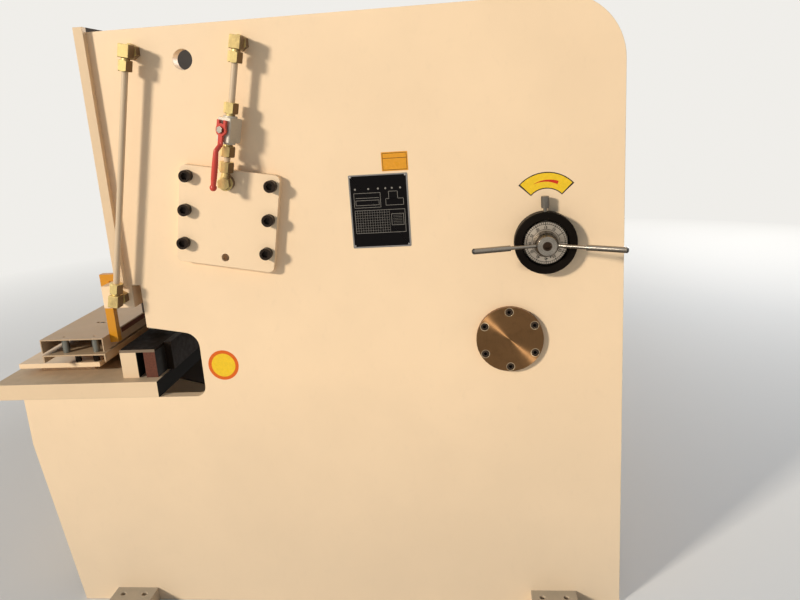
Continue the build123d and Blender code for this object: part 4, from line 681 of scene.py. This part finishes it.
class SHEAR_OT_paint(bpy.types.Operator):
    """Paints the welded frame, the pipes, the guard and the power pack"""
    bl_idname = "shear.paint"
    bl_label = "Paint the machine"

    def execute(self, context):
        paint = context.scene.shear_paint
        cream, throat_shade, peel = tuple(paint.cream), tuple(paint.throat_shade), paint.peel
        wide, tall = 2 * wall_x, 2
        cover = middle("cylinder_covers")
        # The walls of each cover's sight hole are painted dark brown: painted shade inside the hole.
        sight_z, sight_r, sight_hole_shade = cover.z - 0.0995, 0.0104, (0.080, 0.050, 0.034)
        near, far = wall_x - 0.032, cover_face_x - 0.0006
        bores = []
        for low_x, high_x in ((near, far), (-far, -near)):
            low = (low_x, cover.y - sight_r, sight_z - sight_r)
            bores.append((low, (high_x, cover.y + sight_r, sight_z + sight_r), sight_hole_shade))
        body = machine_paint("cream_satin", cream, paint.gloss, peel, patches=bores)
        dress(body, "side_plate_right", "side_plate_left", "front_apron", "table_riser", "table_plate",
              "hold_down_beam", "cylinder_covers", "main_cylinders", "return_cylinders", "rear_tie",
              "tank_shelf", "oil_tank", "tank_lid", "swing_beam", "gauge_rails")
        # The foot plates take a darker copy of the cream with a heavy film on top: painted shade on the feet.
        dress(machine_paint("feet_shaded_cream", shade(cream, 0.66), 0.55, peel, dust_and_shade=0.85), "foot_plates")
        # The bed and seat take a darker copy of the cream with a heavier film on top; their rear faces in the
        # throat are painted near black as painted shade.
        bed_y, seat_y, front_y = bed_high.y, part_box("seat_block")[1].y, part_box("front_plate")[1].y
        bed_rear = ((-wide, bed_y - 0.003, 0), (wide, bed_y + 0.003, tall), throat_shade)
        seat_low = (-wide, seat_y - 0.002, bed_high.z + 0.0005)
        rears = (bed_rear, (seat_low, (wide, seat_y + 0.002, tall), throat_shade))
        bed = machine_paint("bed_cream", shade(cream, 0.86), 0.5, peel, dust_and_shade=0.7, coat=0.0, patches=rears)
        dress(bed, "bed_plate", "seat_block")
        # The front plate takes a darker copy of the cream as painted shade, and its inner face is painted
        # dark as painted shade inside the frame.
        inner = ((-wall_x, front_y - 0.003, 0), (wall_x, front_y + 0.003, tall), tuple(paint.inside))
        front = machine_paint("front_shaded_cream", shade(cream, 0.84), 0.5, peel, coat=0.0, patches=(inner,))
        dress(front, "front_plate")
        bare = {"dust_and_shade": 0.0, "low_darkening": 0.0}
        # The drop chute is painted near black as painted shade inside the frame.
        chute = machine_paint("chute_dark", (0.024, 0.018, 0.013), 0.65, peel, coat=0.0, **bare)
        dress(chute, "drop_chute")
        band_half, band_low, band_high = 1.32, guard_low.z + 0.021, guard_high.z - 0.0035
        band = ((-band_half, guard_high.y - 0.001, band_low), (band_half, guard_high.y + 0.001, band_high),
                shade(tuple(paint.primer), 1.3))
        guard = machine_paint("guard_beige", tuple(paint.guard), 0.5, peel, dust_and_shade=0.4, patches=(band,))
        dress(guard, "guard_channel", "guard_base")
        yellow = machine_paint("yellow_gloss", tuple(paint.yellow), 0.34, peel, dust_and_shade=0.2, low_darkening=0.0)
        dress(yellow, "guard_hangers")
        ivory = machine_paint("ivory_satin", tuple(paint.ivory), 0.36, peel, **bare)
        dress(ivory, "cylinder_pipes", "hold_down_pipe")
        dress(machine_paint("lever_red", tuple(paint.red), 0.26, peel * 0.6, **bare), "valve_lever")
        dress(primer_coat("red_oxide_primer", tuple(paint.primer)), "blade_plate")
        dress(cast_paint("casting_enamel", tuple(paint.casting)), "motor", "pump")
        return {"FINISHED"}


class SHEAR_OT_metals(bpy.types.Operator):
    """Gives the blades, shafts, screws, gears and fittings their metal"""
    bl_idname = "shear.metals"
    bl_label = "Finish the metals"

    def execute(self, context):
        metal = context.scene.shear_metals
        steel, black, brass = tuple(metal.steel), tuple(metal.black), tuple(metal.brass)
        upright_lines = (1, 1, 0.3)
        drawn = ground_metal("drawn_steel", steel, (0.05, 1, 1), 0.32)
        dress(drawn, "gauge_bar", "pivot_shafts", "gap_shaft")
        zinc = ground_metal("zinc_steel", tuple(metal.zinc), upright_lines, 0.42, metallic=0.8)
        dress(zinc, "guard_posts", "hold_down_plungers")
        lead = ground_metal("screw_steel", steel, (1, 0.1, 1), 0.28)
        dress(lead, "gauge_screw_right", "gauge_screw_left")
        stem = ground_metal("plated_stem", shade(steel, 0.8), upright_lines, 0.3)
        dress(stem, "lever_nut", "valve_stem")
        dial_axis, cap_length = (0, dial.y, dial.z), 0.006
        caps = (dial_axis, half_across("dial_handles") - cap_length)
        # The handles get strong painted shade on their undersides.
        handles = ground_metal("handle_steel", shade(steel, 0.72), (1, 0.05, 1), 0.2, stain=0.1, under_shade=0.9,
                               caps=caps)
        dress(handles, "dial_handles")
        # The upper blade takes a dark steel as painted shade in the throat.
        blade = ground_metal("ground_tool_steel", tuple(metal.blade), (0.03, 1, 1), 0.34, stain=0.35)
        dress(blade, "upper_blade")
        # The edge strip is near black as painted shade in the throat, with lighter X ends as a painted
        # highlight.
        strip = black_oxide("shaded_strip_black", shade(black, 0.5), 0.7, wear_and_glint_share=0.8, edge_wear_and_glint=wear_and_glint_steel,
                            ends=0.75, shine=0.05)
        dress(strip, "edge_strip")
        # The lower blade is near black as painted shade in the throat.
        dress(black_oxide("shaded_blade_black", shade(black, 0.7), 0.6, wear_and_glint_share=0.35), "lower_blade")
        gear = ground_metal("cut_gear_steel", tuple(metal.gear), (0.15, 1, 1), 0.38, stain=0.5)
        dress(gear, "eccentric_sectors", "gap_pinions")
        face = turned_metal("dial_face_steel", tuple(metal.face), dial_axis, 0.40, glow=0.5, stain=0.12)
        dress(face, "dial_scale")
        hub = turned_metal("hub_steel", shade(steel, 0.68), dial_axis, 0.20, glow=0.8, stain=0.5, bore=0.0112)
        dress(hub, "dial_hub")
        ring = turned_metal("black_dial_ring", tuple(metal.ring), dial_axis, 0.50, glow=0.3, stain=0.0)
        dress(ring, "dial_ring")
        holes = [(0, y, z) for y, z in cover_screw_places(context.scene.shear_screws.circle)]
        bronze = turned_metal("turned_bronze", tuple(metal.bronze), (0, pivot.y, pivot.z), 0.40,
                              pitch=0.0009, depth=0.00004, glow=1.0, stain=0.3, holes=holes, lit_rim_radius=0.0118)
        dress(bronze, "pivot_covers")
        dress(brass_metal("fitting_brass", brass), "pipe_nuts")
        dress(brass_metal("elbow_brass", shade(brass, 0.92), tarnished=0.5), "brass_elbows")
        plated = ground_metal("nickel_plate", tuple(metal.nickel), (1, 1, 0.5), 0.40, stain=0.2,
                              metallic=0.25)
        dress(plated, "valve_block", "manifold")
        chrome = ground_metal("hard_chrome", tuple(metal.chrome), (1, 1, 0.1), 0.16, stain=0.1)
        dress(chrome, "piston_rods", "return_plungers")
        oxide = black_oxide("black_oxide_screws", black)
        dress(oxide, "lower_blade_bolts", "guard_bolts", "hold_down_cylinders", "pivot_cover_screws",
              "cylinder_screws")
        dress(ground_metal("lock_steel", shade(steel, 0.45), upright_lines, 0.34), "lock_screw")
        return {"FINISHED"}


class SHEAR_OT_cover_screws(bpy.types.Operator):
    """Replaces the pivot covers' screws by ones with hexagon sockets, of the same size"""
    bl_idname = "shear.cover_screws"
    bl_label = "Cut the cover screws"

    def execute(self, context):
        screws = context.scene.shear_screws
        seat_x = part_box("pivot_cover_screws")[1].x - screws.head_height
        bm = bmesh.new()
        for side in (1, -1):
            for index, (y, z) in enumerate(cover_screw_places(screws.circle)):
                seat = Matrix.Translation((side * seat_x, y, z))
                socket_screw(bm, screws, seat @ outwards(side), 0.7 * index + 0.2 * side)
        black = shade(tuple(context.scene.shear_metals.black), 2.0)
        # The heads' edges turn light steel: wear and painted glint on their rims.
        oxide = black_oxide("black_oxide_heads", black, 0.42, wear_and_glint_share=0.9, edge_wear_and_glint=wear_and_glint_steel)
        # Near black for the sockets: painted shade.
        socket = black_oxide("socket_shade_black", (0.004, 0.003, 0.002), 0.7, wear_and_glint_share=0.0)
        piece = finished("cover_socket_screws", bm, (oxide, socket), "frame")
        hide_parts("pivot_cover_screws")
        return {"FINISHED"}


class SHEAR_OT_data_plate(bpy.types.Operator):
    """Adds the black data plate, with frame, table lines and rivets but no words"""
    bl_idname = "shear.data_plate"
    bl_label = "Add the data plate"

    def execute(self, context):
        plate = context.scene.shear_plates
        width, height = plate.name_width, plate.name_height
        black = printed_film("etched_black", (0.006, 0.005, 0.005), 0.34, shine=0.04)
        silver = ground_metal("plate_aluminium", (0.30, 0.28, 0.26), (1, 0.1, 1), 0.36, stain=0.1)
        print_grey = printed_film("plate_print", (0.25, 0.225, 0.19), 0.5)
        bm = bmesh.new()
        field = thicken(bm, [face_sheet(bm, width, height, 0.003)], 0.0008)
        for face in bm.faces:
            face.material_index = 1
        for border, depth in ((0.0028, 0.0), (0.0006, -0.0002)):
            bmesh.ops.inset_region(bm, faces=field, thickness=border, use_even_offset=True, depth=depth)
        for face in field:
            face.material_index = 0
        top, raised, bold, fine = 0.0006, 0.0001, 0.0009, 0.00045
        printed = {"height": raised, "lift": top, "ink": 2}
        right = width / 2 - 0.011
        left, table_low, table_high = -right, -0.054, 0.003
        frames = (
            (left, 0.010, left + 0.066, 0.046), (left + 0.004, 0.016, left + 0.062, 0.028),
            (right - 0.046, 0.014, right - 0.002, 0.030), (right - 0.038, 0.030, right - 0.016, 0.048),
            (left, table_low, right, table_high), (right - 0.034, -0.036, right - 0.004, -0.008),
        )
        for sides in frames:
            box_frame(bm, *sides, bold, **printed)
        ruled_line(bm, (left + 0.004, 0.034), (left + 0.062, 0.034), bold, **printed)
        table_width, rows, columns = 0.086, 9, 14
        for row in range(1, rows):
            z = table_low + row * (table_high - table_low) / rows
            ruled_line(bm, (left, z), (left + table_width, z), fine, **printed)
        for column in range(1, columns + 1):
            y = left + column * table_width / columns
            ruled_line(bm, (y, table_low), (y, table_high), fine, **printed)
        for row in range(6):
            z = -0.032 + row * 0.004
            ruled_line(bm, (right - 0.030, z), (right - 0.008, z), fine, **printed)
        dot = ((0.0, top + raised), (0.0022, top + raised), (0.0026, top - raised), (0.0, top - raised))
        dots_z = 0.056
        for share in (0.0, 0.29, 0.50, 0.66, 0.80, 0.98):
            y = left + 0.004 + share * (right - left - 0.010)
            turned_shape(bm, dot, 16, Matrix.Translation((y, dots_z, 0)), 2)
        head = ((0.0, 0.0021), (0.0011, 0.0019), (0.0021, 0.0013), (0.0026, 0.0006), (0.0026, 0.0002),
                (0.0, 0.0002))
        rivet_inset = 0.0055
        for y in (-1, 1):
            for z in (-1, 1):
                corner = (y * (width / 2 - rivet_inset), z * (height / 2 - rivet_inset), 0)
                turned_shape(bm, head, 20, Matrix.Translation(corner), 1)
        finished("data_plate", bm, (black, silver, print_grey), "frame",
                 on_wall(*plate.name_centre), sharp=10)
        return {"FINISHED"}


class SHEAR_OT_labels(bpy.types.Operator):
    """Adds the amber label and the round label, both left blank"""
    bl_idname = "shear.labels"
    bl_label = "Add the two labels"

    def execute(self, context):
        plate = context.scene.shear_plates
        ink = printed_film("label_black", ink_tone)
        line, margin, heading = 0.0011, 0.003, 0.012
        printed = {"height": print_height, "lift": film_height, "ink": 1}
        bm = bmesh.new()
        width, height = plate.note_size
        thicken(bm, [face_sheet(bm, width, height, 0.0015)], film_height)
        side, top = width / 2 - margin, height / 2 - margin
        box_frame(bm, -side, -top, side, top, line, **printed)
        ruled_line(bm, (-side, top - heading), (side, top - heading), line, **printed)
        amber = printed_film("label_amber", tuple(plate.amber))
        finished("note_label", bm, (amber, ink), "frame", on_wall(*plate.note_centre),
                 sharp=10)
        bm = bmesh.new()
        r, film, rim = plate.disc_radius, film_height, film_height * 1.3
        disc = ((0.0, film), (r * 0.80, film), (r * 0.80, 0.0), (0.0, 0.0))
        inner = r * 0.78
        edge = ((inner, 0.0), (inner, rim), (r * 0.965, rim), (r, film), (r, 0.0), (inner, 0.0))
        turned_shape(bm, disc, 72, upright, 1)
        turned_shape(bm, edge, 72, upright, 0)
        orange = printed_film("label_orange", tuple(plate.orange))
        sun = printed_film("label_sun", tuple(plate.sun))
        finished("round_label", bm, (orange, sun), "frame", on_wall(*plate.disc_centre),
                 sharp=10)
        return {"FINISHED"}


class SHEAR_OT_gap_chart(bpy.types.Operator):
    """Adds the fan-shaped chart over the dial, whose wedge widens as the blade gap does"""
    bl_idname = "shear.gap_chart"
    bl_label = "Add the gap chart"

    def execute(self, context):
        chart = context.scene.shear_chart
        sun = printed_film("chart_yellow", tuple(context.scene.shear_plates.sun))
        ink = printed_film("chart_black", ink_tone)
        red = printed_film("chart_red", (0.62, 0.035, 0.012))
        start, end = math.pi / 2 - chart.half_sweep, math.pi / 2 + chart.half_sweep
        bm = bmesh.new()
        fan_sheet(bm, chart.inner, chart.outer, start, end, 0.0, film_height, 1)
        inner, outer = chart.inner + chart.border, chart.outer - chart.border
        side = chart.border / inner
        fan_sheet(bm, inner, outer, start + side, end - side, film_height, print_height, 0)
        middle_r, thin = (inner + outer) / 2 - 0.001, 0.0004
        wedge_start, wedge_end = math.pi / 2 - math.radians(24), math.pi / 2 + math.radians(26)
        before = set(bm.verts)
        fan_sheet(bm, middle_r - thin, middle_r + thin, wedge_start, wedge_end, film_height + print_height,
                  print_height, 2, 24)
        for vert in bm.verts:
            if vert not in before:
                angle = math.atan2(vert.co.y, vert.co.x)
                growth = 1 - (angle - wedge_start) / (wedge_end - wedge_start)
                radius = Vector((vert.co.x, vert.co.y)).length
                wider = middle_r + (radius - middle_r) * (0.6 + 10.0 * growth)
                vert.co.x, vert.co.y = wider * math.cos(angle), wider * math.sin(angle)
        finished("gap_chart", bm, (sun, ink, red), "frame",
                 on_wall(dial.y + 0.005, chart.centre_z), sharp=10)
        return {"FINISHED"}


def figure_mesh(body, size, thickness):
    """One figure of the dial as a mesh in the sheet's own plane."""
    words = bpy.data.curves.new("figure", "FONT")
    words.body = body
    words.size = size
    words.align_x, words.align_y = "CENTER", "CENTER"
    words.resolution_u = 3
    words.extrude = thickness / 2
    words.offset = size * 0.035
    holder = bpy.data.objects.new("figure", words)
    bpy.context.scene.collection.objects.link(holder)
    flat = bpy.data.meshes.new_from_object(holder)
    bpy.data.objects.remove(holder)
    bpy.data.curves.remove(words)
    return flat


class SHEAR_OT_dial_marks(bpy.types.Operator):
    """Adds the marks, ring lines, figures and pointer of the graduated disc"""
    bl_idname = "shear.dial_marks"
    bl_label = "Mark the dial"

    def execute(self, context):
        marks = context.scene.shear_dial
        ink = black_oxide("engraving_black", (0.012, 0.011, 0.010), 0.5)
        raised, bold, fine, ring_line = 0.00008, 0.0018, 0.0013, 0.0011
        place = Matrix.Translation((dial_face_x - wall_x, 0, 0)) @ on_wall(dial.y, dial.z)
        bm = bmesh.new()
        rim = dial_outer_r - 0.0022
        for number in range(marks.marks):
            angle = math.tau * number / marks.marks
            away = Vector((math.cos(angle), math.sin(angle)))
            reach, line = (marks.short_mark, fine) if number % 5 else (marks.long_mark, bold)
            ruled_line(bm, away * rim, away * (rim - reach), line, raised, 0.0, 0)
        for radius in (dial_inner_r + 0.0020, rim - marks.short_mark - 0.0005, rim):
            far = radius + ring_line
            ring = ((radius, 0.0), (radius, raised), (far, raised), (far, 0.0), (radius, 0.0))
            turned_shape(bm, ring, 64, upright)
        pointer_size, pointer_out, pointer_turn = 0.0034, 0.0365, math.radians(-72.5)
        made = bmesh.ops.create_circle(bm, cap_ends=True, segments=3, radius=pointer_size)
        turn = Matrix.Rotation(pointer_turn, 4, "Z") @ Matrix.Translation((pointer_out, 0, 0.0))
        bmesh.ops.transform(bm, matrix=turn, verts=made["verts"])
        thicken(bm, faces_of(made), raised)
        finished("dial_marks", bm, (ink,), "gap_drive", place)
        figures = bmesh.new()
        out = Matrix.Translation((rim - marks.long_mark - 0.0046, 0, raised / 2))
        for number in range(12):
            flat = figure_mesh(str(number * 5), marks.figure, raised)
            spin = Matrix.Rotation(math.tau * number / 12, 4, "Z")
            flat.transform(place @ spin @ out @ Matrix.Rotation(-math.pi / 2, 4, "Z"))
            figures.from_mesh(flat)
            bpy.data.meshes.remove(flat)
        finished("dial_figures", figures, (ink,), "gap_drive")
        return {"FINISHED"}


class SHEAR_OT_knob_ribs(bpy.types.Operator):
    """Adds the straight knurl of the lock knob"""
    bl_idname = "shear.knob_ribs"
    bl_label = "Knurl the lock knob"

    def execute(self, context):
        centre, knob_top = middle("lock_screw"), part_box("lock_screw")[1].z
        proud, root, knurl_height, knurl_start = 0.00035, 0.93, 0.0225, 0.0250
        bm = bmesh.new()
        made = bmesh.ops.create_circle(bm, cap_ends=True, segments=context.scene.shear_dial.ribs * 2,
                                       radius=half_across("lock_screw") + proud)
        for vert in made["verts"][::2]:
            vert.co *= root
        thicken(bm, faces_of(made), knurl_height)
        bmesh.ops.translate(bm, vec=(centre.x, centre.y, knob_top - knurl_start), verts=bm.verts)
        steel = shade(tuple(context.scene.shear_metals.steel), 0.42)
        grooved = ground_metal("knurled_steel", steel, (1, 1, 0.3), 0.40, stain=0.4)
        finished("lock_knurl", bm, (grooved,), "lock", sharp=20)
        return {"FINISHED"}


class SHEAR_OT_stage(bpy.types.Operator):
    """Sets the floor, the backdrop, the lamps and the camera"""
    bl_idname = "shear.stage"
    bl_label = "Set the studio"

    def execute(self, context):
        stage = context.scene.shear_stage
        scene = context.scene
        scene.view_settings.view_transform = "Standard"
        paper, pale = tuple(stage.paper), tuple(stage.floor)
        bm = bmesh.new()
        bmesh.ops.create_grid(bm, x_segments=8, y_segments=8, size=20)
        mesh = bpy.data.meshes.new("floor")
        bm.to_mesh(mesh)
        bm.free()
        floor = bpy.data.objects.new("floor", mesh)
        scene.collection.objects.link(floor)
        floor.location.z = -0.0005
        screed = Finish("studio_floor")
        screed.done(screed.blended(screed.grain(0.6), shade(pale, 0.985), pale), 0.75, None, {})
        far = screed.node("Emission", {"Color": paper})["Emission"]
        fade = screed.spread(screed.vectors("LENGTH", screed.place), stage.fade_start, stage.fade_end)
        seen = screed.times(fade, screed.shown_to_camera())
        surface = screed.mixed(seen, screed.shader.outputs["BSDF"], far)
        screed.feed(screed.output.inputs["Surface"], surface)
        mesh.materials.append(screed.material)

        world = bpy.data.worlds.new("studio")
        scene.world = world
        world.use_nodes = True
        sky = Nodes(world.node_tree)
        soft = sky.node("Background", {"Color": (0.84, 1.0, 1.22), "Strength": stage.sky})[0]
        backdrop = sky.node("Background", {"Color": paper})[0]
        sky.node("OutputWorld", {"Surface": sky.mixed(sky.shown_to_camera(), soft, backdrop)})

        low, high = cad_bounds
        core = (low + high) / 2
        target = Vector((high.x, core.y, core.z))
        lamps = (
            ("key_lamp", target + Vector((15.92, -15.60, 8.80)), target, 2.8, stage.key, (1.0, 0.94, 0.85)),
            ("rear_lamp", Vector((-8.0, 5.2, 3.0)), core, 5.0, stage.rear, (1.0, 0.985, 0.96)),
        )
        for name, place, aim, size, energy, colour in lamps:
            light = bpy.data.lights.new(name, "AREA")
            light.size, light.energy, light.color = size, energy, colour
            lamp = bpy.data.objects.new(name, light)
            scene.collection.objects.link(lamp)
            lamp.location = place
            lamp.rotation_euler = (aim - place).to_track_quat("-Z", "Y").to_euler()

        yaw, pitch, roll = stage.aim
        level = Matrix(((0, 1, 0), (0, 0, -1), (-1, 0, 0)))
        tilt = Matrix.Rotation(roll, 3, "Z") @ Matrix.Rotation(pitch, 3, "X")
        right, down, ahead = tilt @ Matrix.Rotation(yaw, 3, "Y") @ level
        data = bpy.data.cameras.new("camera")
        data.lens = stage.lens
        data.sensor_width = 36
        camera = bpy.data.objects.new("camera", data)
        scene.collection.objects.link(camera)
        axes = Matrix((right, -down, -ahead)).transposed()
        camera.matrix_world = Matrix.Translation(stage.camera) @ axes.to_4x4()
        scene.camera = camera
        return {"FINISHED"}


class SHEAR_PT_panel(bpy.types.Panel):
    """Lists the steps that dress the shear"""
    bl_idname = "SHEAR_PT_panel"
    bl_label = "Swing beam shear"
    bl_space_type = "VIEW_3D"
    bl_region_type = "UI"
    bl_category = "Shear"

    def draw(self, context):
        for step in steps:
            self.layout.operator(step.bl_idname)


settings = {
    "shear_paint": ShearPaintSettings,
    "shear_metals": ShearMetalSettings,
    "shear_plates": ShearPlateSettings,
    "shear_chart": ShearChartSettings,
    "shear_dial": ShearDialSettings,
    "shear_screws": ShearScrewSettings,
    "shear_stage": ShearStageSettings,
}
steps = (
    SHEAR_OT_paint,
    SHEAR_OT_metals,
    SHEAR_OT_cover_screws,
    SHEAR_OT_data_plate,
    SHEAR_OT_labels,
    SHEAR_OT_gap_chart,
    SHEAR_OT_dial_marks,
    SHEAR_OT_knob_ribs,
    SHEAR_OT_stage,
)
classes = (*settings.values(), *steps, SHEAR_PT_panel)


def register():
    for one in classes:
        bpy.utils.register_class(one)
    for name, group in settings.items():
        setattr(bpy.types.Scene, name, PointerProperty(type=group))


def unregister():
    for name in settings:
        delattr(bpy.types.Scene, name)
    for one in reversed(classes):
        bpy.utils.unregister_class(one)


def main():
    register()
    for step in steps:
        group, name = step.bl_idname.split(".")
        getattr(getattr(bpy.ops, group), name)()


if __name__ == "__main__":
    main()
